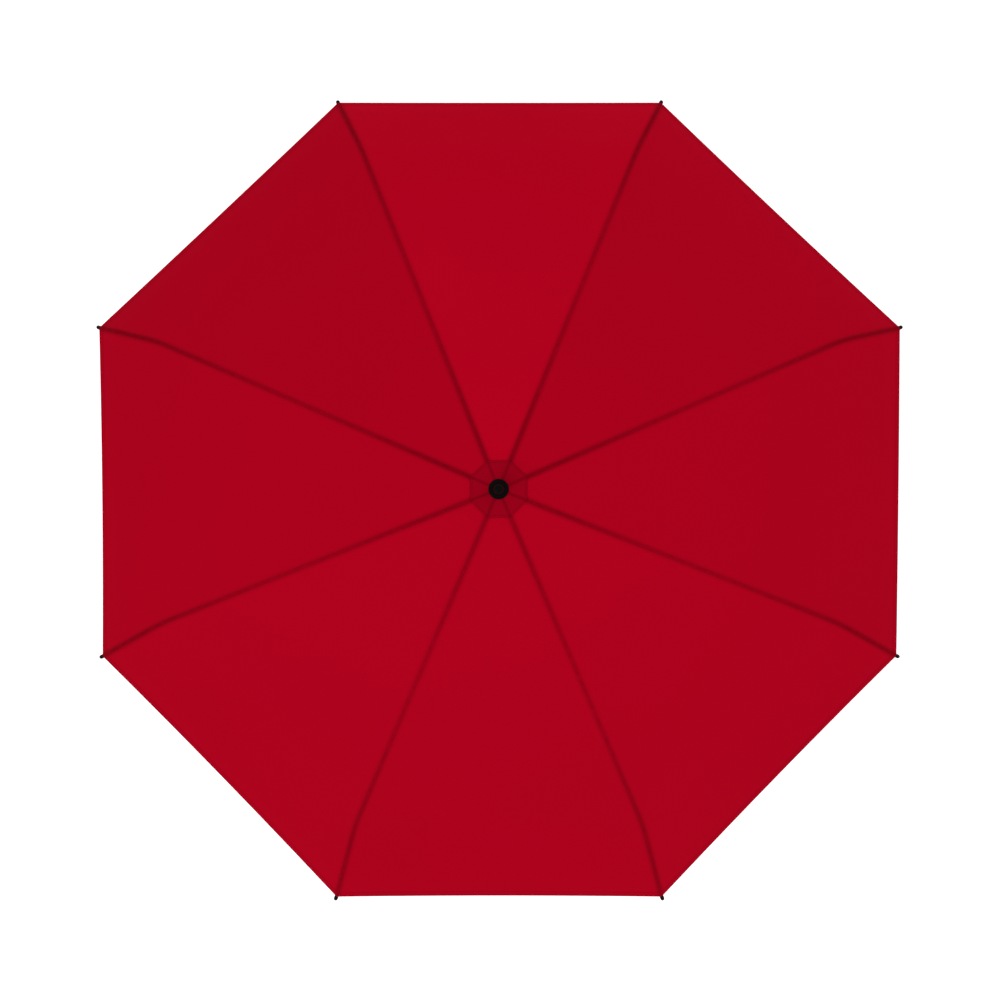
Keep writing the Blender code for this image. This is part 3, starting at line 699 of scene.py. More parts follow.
def plastic_look(name, colour, roughness, specular=0.4, grain=0.05 * MM):
    """Moulded plastic: fine spark-eroded grain, faint flow marks and worn, lighter patches."""
    look = Look(name, colour, roughness, specular=specular)
    flow = look.noise(55, detail=3.0)
    tint = look.stretch(flow, 0.3, 0.7, 0.8, 1.25)
    rough = look.stretch(flow, 0.3, 0.7, roughness - 0.07, roughness + 0.09)
    return look.coat(colour, tint, 0.5, (look.noise(2600), grain), roughness=rough)


def glass_fibre_look():
    """Pultruded glass fibre in black resin: fibres run along the rod and show as fine streaks."""
    colour, fineness = (0.018, 0.018, 0.019), (2600, 60, 2600)
    look = Look("glass_fibre", colour, 0.32, specular=0.5)
    thread = look.kept("thread", "Vector")
    along = look.node("ShaderNodeVectorMath", {0: thread, 1: fineness}, operation="MULTIPLY")
    streak = look.noise(1.0, along, 3.0)
    rough = look.stretch(streak, 0.3, 0.7, 0.24, 0.42)
    tint = look.stretch(streak, 0.3, 0.75, 0.6, 1.9)
    return look.coat(colour, tint, 0.5, (streak, 0.05 * MM), roughness=rough)


def steel_look(name, colour, roughness):
    """Plated steel: fine drawing lines, a little tarnish and dulled patches."""
    look = Look(name, colour, roughness, metallic=1.0)
    spot = look.noise(90, detail=4.0, roughness=0.65)
    tint = look.stretch(spot, 0.3, 0.75, 1.05, 0.72)
    rough = look.stretch(spot, 0.3, 0.7, roughness - 0.06, roughness + 0.16)
    return look.coat(colour, tint, 0.4, (look.noise(1500), 0.02 * MM), roughness=rough)


def foam_look():
    """Closed-cell foam grip: matt, with fine cells and slightly shiny, darker hand wear."""
    colour = (0.02, 0.02, 0.021)
    look = Look("foam", colour, 0.86, specular=0.25)
    cells = look.node("ShaderNodeTexVoronoi", {"Vector": look.place(), "Scale": 1400.0}, output="Distance")
    soft = look.noise(35, detail=3.0)
    tint = look.stretch(soft, 0.3, 0.7, 0.8, 1.35)
    rough = look.stretch(soft, 0.3, 0.7, 0.78, 0.93)
    return look.coat(colour, tint, 0.8, (cells, 0.14 * MM), (look.noise(420), 0.12 * MM), roughness=rough)


CLOTH_MATERIAL = cloth_look("canopy_cloth", CLOTH_RED, HEM_WIDTH, 7.5 * MM, 9 * MM)
ROSETTE_MATERIAL = cloth_look("rosette_cloth", ROSETTE_RED, 4 * MM, 3 * MM, 4.5 * MM, 0.98)
STRAP_MATERIAL = cloth_look("strap_cloth", CLOTH_RED, 3 * MM, 2.2 * MM, 1 * MM)
SEAM_MATERIAL = seam_look()
PLASTIC = plastic_look("black_plastic", (0.0065, 0.006, 0.006), 0.42)
CAP_PLASTIC = plastic_look("cap_plastic", NEAR_BLACK, 0.5, specular=0.03)
FIBRE = glass_fibre_look()
STEEL = steel_look("plated_steel", (0.62, 0.62, 0.63), 0.3)
FOAM = foam_look()
BUTTON_GREY = plastic_look("button_grey", (0.25, 0.25, 0.26), 0.38)


# ---- canopy ----


def seam_strength(k, s):
    """How strongly painted shade darkens the cloth at seam k: most at the crown and near the hem."""
    f = share(s)
    ends = 0.62 + 0.38 * np.clip(np.abs(f - 0.5) / 0.38, 0, 1) ** 1.6
    return SEAM_SHADE[k % RIBS] * ends


def band_rows(length, rows, tucked, hem):
    """Distances from the band's beginning of its rows of points. A tucked band's first row, at -1,
    stands for the tuck."""
    first = [-1, -0.02 * MM, 0.01 * MM] if tucked else [0]
    if hem:
        middle = np.linspace(first[-1], length - 1.6 * HEM_WIDTH, rows - 3)[1:]
        last = [length - HEM_WIDTH - 0.4 * MM, length - HEM_WIDTH + 0.6 * MM, length - 1 * MM, length]
    else:
        middle = np.linspace(first[-1], length, rows + 1)[1:]
        last = []
    return first, np.concatenate([middle, last])


def flat_area(point):
    """Area of a grid of points."""
    along, across = point[1:, :-1] - point[:-1, :-1], point[:-1, 1:] - point[:-1, :-1]
    return float(np.linalg.norm(np.cross(along, across), axis=-1).sum())


def half_gore(name, k, side, start, end, rows, tucked, hem):
    """Cloth between rib k's seam and the middle of the gore beside it. start and end give the
    length along the rib where it begins and ends, for u from 0 to a half across. Returns the mesh,
    and the width, length and area of its flat cut."""
    gore = k if side > 0 else k - 1
    bend = 2.2  # crowds the columns towards the seam
    half = 0.5 * np.sinh(bend * np.linspace(0, 1, HALF_GORE_COLS + 1)) / math.sinh(bend)
    begin, finish = start(half), end(half)
    span = float(finish[0] - begin[0])
    first, rest = band_rows(span, rows, tucked, hem)
    lines = []
    for step in first:
        if step == -1:
            lines.append(begin - TUCK * np.maximum(smooth(6 * half), 0.15))
        else:
            lines.append(begin + step)
    stretch = (finish - begin) / span
    s = np.concatenate([np.array(lines), begin + stretch * rest[:, None]])
    u = np.broadcast_to(half if side > 0 else 1 - half, s.shape)
    point, normal = cloth_at(gore, s, u), cloth_normal(gore, s, u)
    width = gore_width(gore, s)
    from_hem = finish - s if hem else np.full(s.shape, 1.0)
    doubled = HEM_DOUBLED * (from_hem < HEM_WIDTH)
    values = {
        "seam": half * width,
        "hem": from_hem,
        "shade": seam_strength(k, s),
        # painted light and shade of this gore
        "tone_and_shade": np.full(s.shape, PANEL_LIGHTING[gore % RIBS]),
        "thread": np.stack([(u - 0.5) * width, s, np.zeros(s.shape)], axis=-1),
    }
    above, below = np.full(s.shape, CLOTH / 2), CLOTH / 2 + doubled
    if tucked:
        above[:2] = -TUCK_TOP
        below[0] = TUCK_TOP + TUCK_EDGE
        below[1:3] = TUCK_TOP + TUCK_ROOT
    mesh = shell(name, point, normal, above, below, values)
    cut = float(width.max() / 2), float((s[-1] - s[0]).max()), flat_area(point)
    return mesh, cut


def fold_frame(k, begins, ends):
    """How a band folds along its rib: a point of the ridge over the rod, and the directions
    sideways and outward."""
    low, high = rib_path(k, begins), rib_path(k, ends)
    along = unit(high - low)
    side = unit(tangent(k) - (tangent(k) @ along) * along)
    ridge = seam_line(k, 0.5 * (begins + ends))
    return ridge - ((ridge - low) @ side) * side, side, np.cross(along, side)


def hem_line(half, gore):
    return HEM_AT - HEM_CURVE[gore % RIBS] * 4 * half * (1 - half)


def make_canopy():
    """Every band's two half gores and its seam, at every rib."""
    for k in range(RIBS):
        for j, (band, zone, begins, rows, keep, tilt) in enumerate(BANDS):
            rim = j == len(BANDS) - 1
            ends = HEM_AT if rim else BANDS[j + 1][2]
            start = cut_line if begins == FLEX_AT else partial(np.full_like, fill_value=begins)
            end = cut_line if ends == FLEX_AT else partial(np.full_like, fill_value=ends)
            ridge, sideways, out = fold_frame(k, begins, ends)
            body = f"rib_{zone}_{k + 1}"
            seam = make_seam(k, band, begins, ends - (0.6 * MM if rim else 0), rows + 4)
            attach(seam, body)
            for side, hand in ((1, "left"), (-1, "right")):
                name = f"canopy_{band}_{k + 1}_{hand}"
                gore = k if side > 0 else k - 1
                if rim:
                    end = partial(hem_line, gore=gore)
                mesh, (wide, length, area) = half_gore(name, k, side, start, end, rows, j > 0, rim)
                panel = f"canopy_panel_{gore % RIBS + 1}"
                made = put(name, mesh, CLOTH_MATERIAL, body, [panel])
                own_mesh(made)
            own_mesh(seam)


def make_crown_cloth():
    """The cloth's middle, clamped between the crown and the ferrule."""
    cols = 8 * RIBS
    k = np.arange(cols + 1) / 8
    gore = np.minimum(k.astype(int), RIBS - 1)
    u = k - gore
    s = np.linspace(CROWN_FROM, CROWN_TO, 6)
    point = np.stack([cloth_at(int(g), s, np.full(6, x)) for g, x in zip(gore, u)], axis=1)[:, :-1]
    bm = bmesh.new()
    over, under = ([[bm.verts.new(p + z * Z) for p in row] for row in point] for z in (CLOTH / 2, -CLOTH / 2))
    walk = over + under[::-1]
    for row, after in zip(walk, walk[1:] + walk[:1]):
        bridge(bm, row, after)
    mesh = finished(bm, "canopy_crown")
    store(mesh, "thread", [v.co for v in mesh.vertices])
    for key, value in (("tone_and_shade", 0.95), ("hem", 1), ("seam", 1)):
        store(mesh, key, np.full(len(mesh.vertices), value))
    made = put("canopy_crown", mesh, CLOTH_MATERIAL, "root")


def make_rosette():
    """Doubled patch round the ferrule, in eight sectors, one over each rib."""
    for k in range(RIBS):
        cols, rows = 12, 12
        centre = np.linspace(-0.5, 0.5, cols + 1)
        s = np.linspace(CROWN_FROM, ROSETTE_TO, rows + 1)[:, None] * np.ones(cols + 1)[None, :]
        gore = np.where(centre < 0, k - 1, k)
        u = np.where(centre < 0, 1 + centre, centre)
        line = s[:, 0]
        columns = [(int(g), line, np.full(rows + 1, x)) for g, x in zip(gore, u)]
        point = np.stack([cloth_at(*column) for column in columns], axis=1)
        normal = np.stack([cloth_normal(*column) for column in columns], axis=1)
        width = gore_width(k, line)
        left = cloth_normal(k - 1, line, np.ones(rows + 1))
        normal[:, cols // 2] = unit(normal[:, cols // 2] + left)
        point = point + normal * ROSETTE_LIFT
        values = {
            "tone_and_shade": np.ones(s.shape),
            "hem": ROSETTE_TO - s,
            "seam": np.abs(centre)[None, :] * width[:, None],
            "shade": np.full(s.shape, 0.3),
            "thread": np.stack([point @ tangent(k), point @ radial(k), np.zeros(s.shape)], axis=-1),
        }
        mesh = shell(f"rosette_{k + 1}", point, normal, ROSETTE_HALF, ROSETTE_HALF, values)
        made = put(f"rosette_{k + 1}", mesh, ROSETTE_MATERIAL, None, ["rosette"])
        start, end = on_plane(k, -3 * MM), on_plane(k, 12 * MM)
        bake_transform(made)


def make_seam(k, band, low, high, rows):
    """Felled seam over rib k, folded over the ridge where two gores meet."""
    s = np.linspace(low, high, rows + 1)
    offsets = np.array((-1, -0.72, -0.4, -0.12, 0.12, 0.4, 0.72, 1)) * SEAM_HALF
    points, normals = [], []
    for off in offsets:
        gore = k if off > 0 else k - 1
        width = gore_width(gore, s)
        u = np.minimum(np.abs(off) / width, 0.45)
        u = u if off > 0 else 1 - u
        points.append(cloth_at(gore, s, u))
        normals.append(cloth_normal(gore, s, u))
    point, normal = np.stack(points, axis=1), np.stack(normals, axis=1)
    ridge = normal.mean(axis=1, keepdims=True)
    soft = (1 - np.abs(offsets) / SEAM_HALF)[None, :, None]
    normal = unit(normal * (1 - soft) + ridge * soft)
    crowned = (1 - (offsets / SEAM_HALF) ** 2)[None, :]
    above = CLOTH / 2 + SEAM_EDGE + SEAM_LIFT * crowned
    shape = point.shape[:2]
    values = {
        # painted light and shade: the mean of the two gores beside the seam
        "tone_and_shade": np.full(shape, 0.5 * (PANEL_LIGHTING[k % RIBS] + PANEL_LIGHTING[k - 1])),
        "shade": np.broadcast_to(seam_strength(k, s)[:, None], shape),
        "thread": np.stack(np.broadcast_arrays(offsets[None, :], s[:, None], np.zeros(shape)), axis=-1),
    }
    name = f"seam_{band}_{k + 1}"
    mesh = shell(name, point, normal, above, -CLOTH / 2, values)
    return put(name, mesh, SEAM_MATERIAL, None)


# ---- ribs and tips ----


def rib_drift(k, s):
    """The rod follows the seam in its own plane, and sideways mostly near its tip."""
    s = np.asarray(s, float)
    pull = drift(k, s)
    inward = pull @ radial(k) * smooth((s - FLEX_AT) / 0.12)
    tip = TIP_PULL[k] @ tangent(k)[:2] * smooth((s - 0.5) / (RIB_LENGTH - 0.5))
    sideways = tip + ROD_FOLLOWS * (pull @ tangent(k) - tip)
    return inward[..., None] * radial(k) + sideways[..., None] * tangent(k)


def rib_path(k, s):
    """Points of rib k's axis."""
    return on_plane(k, s) + rib_drift(k, s)


def make_ribs():
    """Glass fibre rods, with rings set close round the flex just below their joiners."""
    stations = [
        np.linspace(9 * MM, FLEX_AT - 25 * MM, 30),
        np.linspace(FLEX_AT - 20 * MM, FLEX_AT + 20 * MM, 11),
        np.linspace(FLEX_AT + 25 * MM, RIB_LENGTH - 8 * MM, 40),
    ]
    s = np.concatenate(stations)
    radii = np.interp(s, (0, FLEX_AT, RIB_LENGTH), ROD_RADII)
    for k in range(RIBS):
        name, inner, outer = f"rib_{k + 1}", f"rib_inner_{k + 1}", f"rib_outer_{k + 1}"
        mesh = threaded(tube(name, rib_path(k, s), radii), tangent(k), radial(k))
        made = put(name, mesh, FIBRE, None, [inner, outer])
        start, end = on_plane(k, FLEX_AT - 12 * MM), on_plane(k, FLEX_AT + 12 * MM)
        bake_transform(made)


def in_plane(s):
    """A point of a rib's axis, in the plane y = 0."""
    radius, height = rib_curve(s)
    return Vector((float(radius), 0, float(height)))


def make_rib_roots():
    """Steel end of each rib: an eye on the crown's wire, and a sleeve crimped on the rod."""
    start, end = in_plane(7 * MM), in_plane(23 * MM)
    r, length = 2 * MM, (end - start).length
    profile = [(0, 0), *stepped(r, 0, (-0.3, 0), (0, 0.3))]
    for crimp in (4 * MM, 7 * MM, 10 * MM):
        profile += stepped(r, crimp, (0, -0.7), (-0.25, 0), (0, 0.7))
    profile += [*stepped(r, length, (0, -0.3), (-0.2, 0)), (0, length)]
    sleeve = aimed(turned("sleeve", profile, 32), start, end)
    eye = ring_y("eye", 0.95 * MM, EYE_R, EYE_HALF, (PIVOT_R, CROWN_Z))
    outline = capsule(stepped(PIVOT_R, CROWN_Z, (2.4, -0.2))[0], in_plane(9 * MM).xz, 1.3 * MM, 1.5 * MM)
    neck = plate("neck", outline, -1.1 * MM, 1.1 * MM, 0.2 * MM)
    mesh = combined("rib_root", eye, [neck, sleeve])
    on_every_rib("rib_root", mesh, STEEL, "rib_inner")


def make_joiners():
    """Moulded clip on each rib, with two cheeks round the stretcher's eye, and its rivet."""
    start, end = in_plane(JOINER_AT - 11 * MM), in_plane(JOINER_AT + 5 * MM)
    length = (end - start).length
    r = 2.3 * MM
    profile = [(0, 0), *stepped(r, 0, (-0.7, 0), (-0.2, 0.3), (0, 0.9), (0, 2.2), (-0.4, 2.7))]
    profile += stepped(r, length, (-0.4, -2.7), (0, -2.2), (0, -0.9), (-0.2, -0.3), (-0.7, 0), (-2.3, 0))
    sleeve = aimed(turned("clip", profile, 40), start, end)
    axis = in_plane(JOINER_AT)
    outline = capsule((axis.x, axis.z), (RIVET_R, RIVET_Z), 2.2 * MM, 2.9 * MM)
    cheeks = [plate("cheek", outline, side * 1.5 * MM, side * 2.4 * MM, 0.25 * MM) for side in (-1, 1)]
    mesh = combined("joiner", sleeve, cheeks)
    on_every_rib("joiner", mesh, PLASTIC, "rib_inner")
    head = stepped(0, 0, (0.85, 2.42), (1.6, 2.42), (1.6, 2.6), (0.8, 2.9), (0, 3))
    rivet = turned("rivet", [(r, -z) for r, z in reversed(head)] + head, 32)
    laid(rivet, RIVET_R, 0, RIVET_Z)
    on_every_rib("joiner_rivet", rivet, STEEL, "rib_inner")


def make_stretchers():
    """Folded steel channel from the joiner to the runner, open below, with an eye at each end."""
    top, low = Vector((RIVET_R, 0, RIVET_Z)), Vector((PIVOT_R, 0, RUNNER_Z))
    along = (low - top).normalized()
    up = Vector((along.z, 0, -along.x))
    if up.z < 0:
        up = -up
    section = stepped(0, 0, (-1.5, -1.8), (-1.5, 1.4), (-1.1, 1.8), (1.1, 1.8), (1.5, 1.4), (1.5, -1.8))
    section += stepped(0, 0, (1, -1.8), (1, 1.3), (-1, 1.3), (-1, -1.8))
    bm = bmesh.new()
    rings = []
    for centre in (top + along * 7 * MM, low - along * 6 * MM):
        rings.append([bm.verts.new(centre + up * h + Vector((0, y, 0))) for y, h in section])
    bridge(bm, *rings)
    bm.faces.new(rings[0])
    bm.faces.new(rings[1])
    channel = finished(bm, "channel")
    others = []
    for centre, radius, hole, reach in ((top, EYE_R, 1 * MM, along), (low, 2 * MM, 0.8 * MM, -along)):
        others.append(ring_y("eye", hole, radius, EYE_HALF, (centre.x, centre.z), bevel=0.2 * MM))
        near, far = centre + reach * 2.6 * MM, centre + reach * 12 * MM
        outline = capsule((near.x, near.z), (far.x, far.z), 1.35 * MM, 1.2 * MM)
        others.append(plate("neck", outline, -1.1 * MM, 1.1 * MM, 0.15 * MM))
    mesh = combined("stretcher", channel, others)
    on_every_rib("strut", mesh, STEEL, "stretcher")


def make_tips():
    """Blunt moulded cap on each rib's end, with a waist that the cloth's corner is sewn to."""
    for k in range(RIBS):
        start, end = rib_path(k, CAP_AT), rib_path(k, RIB_LENGTH)
        length = Vector(end - start).length
        bore = stepped(0, 0, (0, 10), (1.4, 10), (1.4, 0))
        waist = (0, 7), (-0.15, 7.5), (-0.55, 8), (-0.55, 10.5), (-0.15, 11), (0, 11.5)
        profile = bore + stepped(TIP_R, 0, (-0.5, 0), (-0.1, 0.3), (0, 0.9), *waist)
        profile += stepped(TIP_R, length, (0, -3), (-0.25, -1.7), (-0.9, -0.6), (-1.8, -0.1), (-2.9, 0))
        mesh = aimed(turned(f"tip_{k + 1}", profile, sides=32), start, end)
        put(mesh.name, mesh, CAP_PLASTIC, f"rib_outer_{k + 1}", [f"rib_tip_{k + 1}"])


# ---- shaft, crown, ferrule, runner and spring ----


def make_ferrule():
    """Flanged cap that holds the cloth down on the crown, with a short blunt spike."""
    low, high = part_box("ferrule")
    foot = float(rib_curve(CROWN_FROM, 8.6 * MM)[1])
    top = high.z
    profile = [(0, low.z + 6.3 * MM), (7.4 * MM, low.z + 6.3 * MM), (7.4 * MM, foot)]
    profile += stepped(14.1 * MM, foot, (-0.5, 0), (0, 0.4), (0, 1.2), (-0.4, 2.1), (-1.6, 3.1), (-3.4, 4.1))
    profile += stepped(0, foot, (9.3, 5.6), (8.5, 8), (8.1, 12), (7.9, 12.6), (7.5, 12.8), (7.4, 13.6))
    profile += [(7.7 * MM, foot + 14 * MM), (6.5 * MM, top - 9 * MM)]
    dome = np.linspace(0.05, math.pi / 2, 12)
    profile += [(2.6 * MM + 3.6 * MM * math.cos(a), top - 3.8 * MM * (1 - math.sin(a))) for a in dome]
    profile.append((0, top))
    mesh = turned("ferrule_cap", profile)
    put("ferrule_cap", mesh, CAP_PLASTIC, "root", ["ferrule"])


def hub_slots(name, low, high):
    """Cutters for the eight slots of a hub."""
    cutters = []
    for k in range(RIBS):
        corners = (HUB_CORE_R, -HUB_SLOT / 2, low), (HUB_R + 5 * MM, HUB_SLOT / 2, high)
        cutter = rounded_box(f"{name}_slot_{k}", *corners, 0)
        cutter.transform(Matrix.Rotation(azimuth(k), 4, "Z"))
        cutters.append(cutter)
    return cutters


def pin_hole():
    return ring_y("pin_hole", 0, PIN_R + GAP / 2, HUB_R, (0, CROWN_Z - PIN_DROP), 32, 0.1 * MM)


def make_shaft():
    """Glass fibre tube with a long slot for the runner's key."""
    foot, edge = END_CAP + GAP, 0.3 * MM
    profile = [(SHAFT_BORE_R, foot), (SHAFT_R - edge, foot), (SHAFT_R, foot + edge)]
    profile += [(SHAFT_R, SHAFT_TOP - edge), (SHAFT_R - edge, SHAFT_TOP), (SHAFT_BORE_R, SHAFT_TOP)]
    half = KEY_HALF + 0.4 * MM
    low = RUNNER_Z - RUNNER_TRAVEL + KEY_LOW - 3 * MM
    high = RUNNER_Z + KEY_HIGH + 3 * MM
    outline = capsule((0, low + half), (0, high - half), half, half)
    slot = plate("key_slot", outline, SHAFT_BORE_R - 2 * MM, SHAFT_R + 2 * MM)
    slot.transform(Matrix.Rotation(math.radians(-90), 4, "Z"))
    mesh = combined("shaft_tube", turned("shaft_tube", profile, 64), [slot, pin_hole()], "DIFFERENCE")
    threaded(mesh, np.array((1.0, 0, 0)), np.array((0, 0, 1.0)))
    put("shaft_tube", mesh, FIBRE, "root", ["shaft"])


def make_crown():
    """Slotted hub whose groove holds the wire ring that the ribs' eyes turn on."""
    head_foot, top, foot = CROWN_Z - 5 * MM, CROWN_Z + 4.5 * MM, CROWN_Z - 22 * MM
    core, groove, floor = HUB_CORE_R - GAP, 1.1 * MM, PIVOT_R - 2 * WIRE_R
    profile = [(SLIDE_R, foot), *stepped(core, foot, (-0.8, 0), (0, 0.8))]
    profile += stepped(core, head_foot, (0, -1.5), (0.4, -0.5), (1.4, 0))
    profile += stepped(HUB_R, head_foot, (-1, 0), (-0.3, 0.3), (0, 1))
    profile += [*stepped(HUB_R, CROWN_Z - groove, (0, -0.2), (-0.2, 0)), (floor, CROWN_Z - groove)]
    profile += [(floor, CROWN_Z + groove), *stepped(HUB_R, CROWN_Z + groove, (-0.2, 0), (0, 0.2))]
    profile += [*stepped(HUB_R, top, (0, -1), (-0.3, -0.3), (-1, 0)), (SLIDE_R, top)]
    cutters = hub_slots("crown", CROWN_Z - 10 * MM, CROWN_Z + 3.2 * MM) + [pin_hole()]
    mesh = combined("crown_hub", turned("crown_hub", profile), cutters, "DIFFERENCE")
    put("crown_hub", mesh, PLASTIC, "root", ["crown"])
    turn = np.arange(16) * math.tau / 16
    profile = [(PIVOT_R + WIRE_R * math.cos(a), CROWN_Z + WIRE_R * math.sin(a)) for a in turn]
    put("wire_ring", turned("wire_ring", profile, 128, 60), STEEL, "root", ["crown_wire"])


def make_runner():
    """Slotted head and ringed sleeve, with a catch window at the foot and a key into the shaft."""
    sleeve_low, sleeve_high = RUNNER_FOOT + LIP_HEIGHT, -HEAD_HALF - 3 * MM
    catch_top = RUNNER_FOOT + CATCH_DEPTH
    profile = [(SLIDE_R, catch_top), (CATCH_R, catch_top), (CATCH_R, RUNNER_FOOT)]
    profile += stepped(LIP_R, RUNNER_FOOT, (-0.6, 0), (0, 0.6))
    profile += stepped(LIP_R, sleeve_low, (0, -0.5), (-0.5, 0))
    profile += stepped(SLEEVE_R, sleeve_low, (0.3, 0.2), (0, 0.6))
    for ring in range(6):
        z = -19 * MM + ring * 1.6 * MM
        profile += stepped(SLEEVE_R, z, (0, -0.45), (-0.35, -0.2), (-0.35, 0.2), (0, 0.45))
    profile += [(SLEEVE_R, sleeve_high), (HUB_CORE_R - GAP, -HEAD_HALF - 0.6 * MM)]
    profile.append((HUB_CORE_R + 0.6 * MM, -HEAD_HALF))
    profile += stepped(HUB_R, -HEAD_HALF, (-1, 0), (-0.3, 0.3), (0, 1))
    profile += stepped(HUB_R, HEAD_HALF, (0, -1), (-0.3, -0.3), (-1, 0))
    profile += stepped(SLIDE_R, HEAD_HALF, (0.4, 0), (0, -0.4))
    window_low = RUNNER_FOOT + LIP_HEIGHT + 0.4 * MM
    corners = (-2.5 * MM, -LIP_R - 2 * MM, window_low), (2.5 * MM, -CATCH_R + 1.6 * MM, window_low + 4.5 * MM)
    cutters = hub_slots("runner", -2 * HEAD_HALF, 2 * HEAD_HALF)
    cutters.append(rounded_box("window", *corners, 0.4 * MM))
    cut = combined("runner_hub", turned("runner_hub", profile), cutters, "DIFFERENCE")
    corners = (1 * MM, -KEY_HALF, KEY_LOW), (SLEEVE_R - 1.5 * MM, KEY_HALF, KEY_HIGH)
    mesh = combined("runner_hub", cut, [rounded_box("key", *corners, 0.2 * MM)])
    mesh.transform(Matrix.Translation((0, 0, RUNNER_Z)))
    put("runner_hub", mesh, PLASTIC, "runner", ["runner"])


def make_spring():
    """Compression spring with closed ends."""
    per_turn = 20
    high = RUNNER_Z + KEY_LOW - GAP - PLUNGER_HEIGHT - GAP - SPRING_WIRE_R
    low = SPRING_FOOT + SPRING_WIRE_R
    t = np.linspace(0, 1, SPRING_TURNS * per_turn + 1)
    closing = 1.5 / SPRING_TURNS  # turns at each end that lie flat
    rise = np.clip((t - closing) / (1 - 2 * closing), 0, 1)
    angle = t * SPRING_TURNS * math.tau
    ends = 2 * SPRING_WIRE_R * (np.minimum(t, closing) + np.maximum(t - 1 + closing, 0)) * SPRING_TURNS
    height = low + ends + (high - low - ends[-1]) * rise
    path = np.stack([SPRING_R * np.cos(angle), SPRING_R * np.sin(angle), height], axis=-1)
    mesh = tube("spring_coil", path, SPRING_WIRE_R, 8)
    made = put("spring_coil", mesh, STEEL, "root", ["main_spring"])
    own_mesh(made)


# ---- handle ----


def make_handle():
    """Foam grip with rings moulded in at both ends, and the cap under it."""
    r, edge = GRIP_R - 0.5 * MM, 1.2 * MM
    turn = np.linspace(0.3, math.pi / 2, 5)
    profile = [(0, 0), (r - edge, 0)]
    profile += [(r - edge * (1 - math.sin(a)), edge * (1 - math.cos(a))) for a in turn]
    profile += stepped(r, 0, (0, 3.4), (-0.5, 3.7), (-0.5, 4.3), (0, 4.6))
    profile += [*stepped(r, END_CAP, (0, -0.3), (-0.3, 0)), (0, END_CAP)]
    put("handle_cap", turned("handle_cap", profile), PLASTIC, "root", ["end_cap"])
    foot, top = END_CAP + GAP, GRIP_TOP
    round_edge = 2 * MM
    z = np.linspace(foot + round_edge, top - round_edge, 161)
    f = (z - foot) / (top - foot)
    radius = GRIP_R - 0.9 * MM * np.sin(math.pi * f) ** 2
    for ring in (9, 13, 17):
        for at in (foot + ring * MM, top - ring * MM):
            radius = radius - 0.55 * MM * np.exp(-(((z - at) / (0.75 * MM)) ** 2))
    corner = np.linspace(0, math.pi / 2, 7)
    inset, rise = round_edge * (1 - np.sin(corner)), round_edge * (1 - np.cos(corner))
    lower = list(zip(GRIP_R - inset, foot + rise))
    upper = [(x, top + foot - y) for x, y in reversed(lower)]
    profile = [(CORE_R + GAP, foot), *lower[:-1], *zip(radius, z), *upper[1:], (CORE_R + GAP, top)]
    put("foam_grip", turned("foam_grip", profile, 96, 60), FOAM, "root", ["grip"])


def make_collar():
    """Button housing on the grip, with the button's pocket and the latch's slot."""
    foot = GRIP_TOP + GAP
    rim = (-0.4, -6), (-1.3, -3.4), (-2.5, -1.3), (-3.4, -0.3), (-4.2, 0)
    profile = [(SLIDE_R, foot), *stepped(COLLAR_R, foot, (-0.4, 0), (0, 0.4), (0.5, 1.6), (0.6, 3))]
    profile += stepped(COLLAR_R, foot, (0.45, 4.4), (-0.1, 5.2), (-0.3, 5.8), (0, 6.6))
    profile += stepped(COLLAR_R, COLLAR_TOP, (0, -8), *rim)
    profile += stepped(SLIDE_R, COLLAR_TOP, (0.4, 0), (0, -0.4))
    depth = BUTTON_TRAVEL - BUTTON_BACK + GAP
    pocket = ring_y("pocket", 0, BUTTON_R + GAP, 10 * MM, (0, BUTTON_Z), 64, 0.1 * MM)
    pocket.transform(Matrix.Translation((0, depth - 10 * MM, 0)))
    dish = ring_y("dish", 0, BUTTON_R + 1.2 * MM, 5 * MM, (0, BUTTON_Z), 64, 0.6 * MM)
    dish.transform(Matrix.Translation((0, -COLLAR_R - 4.3 * MM, 0)))
    low = BUTTON_Z - BUTTON_R - 1 * MM
    corners = (-2 * MM, -TONGUE_OUT - 0.4 * MM, low), (2 * MM, -6 * MM, COLLAR_TOP + 5 * MM)
    slot = rounded_box("tongue_slot", *corners, 0)
    mesh = combined("button_collar", turned("button_collar", profile), [pocket, dish, slot], "DIFFERENCE")
    put("button_collar", mesh, PLASTIC, "root", ["collar"])
    reach = COLLAR_R + BUTTON_PROUD - BUTTON_BACK
    edge = (0, -1.6), (-0.15, -1), (-0.6, -0.35), (-1.2, -0.05), (-1.7, 0)
    profile = [(0, 0), *stepped(BUTTON_R, 0, (-0.2, 0), (0, 0.2)), *stepped(BUTTON_R, reach, *edge)]
    profile += stepped(BUTTON_R, reach, (-2.3, -0.15), (-3.8, -0.45), (-5, -0.5))
    mesh = laid(turned("push_button", profile, 64), 0, -BUTTON_BACK, BUTTON_Z)
    put("push_button", mesh, BUTTON_GREY, "button", ["button"])


# ---- tie strap ----


def strap_frame():
    """The strap's place under the drifted hem: its origin, and its outward and sideways directions."""
    pull = drift(STRAP_RIB, np.array(STRAP_AT))
    hang = on_plane(STRAP_RIB, STRAP_AT, -STRAP_DROP)
    return hang + pull, radial(STRAP_RIB), tangent(STRAP_RIB)


def facing(point, out):
    """Unit normals of a grid of points, on the side that looks outward."""
    normal = unit(np.cross(np.gradient(point, axis=1), np.gradient(point, axis=0)))
    return normal * np.sign(normal @ out)[..., None]


def strap_wave(z):
    """The strap's soft bow, outward, at the height z above its hinge."""
    t = np.clip(-np.asarray(z, float) / STRAP_LENGTH, 0, 1)
    return 2.6 * MM * np.sin(2.1 * math.pi * t) * t


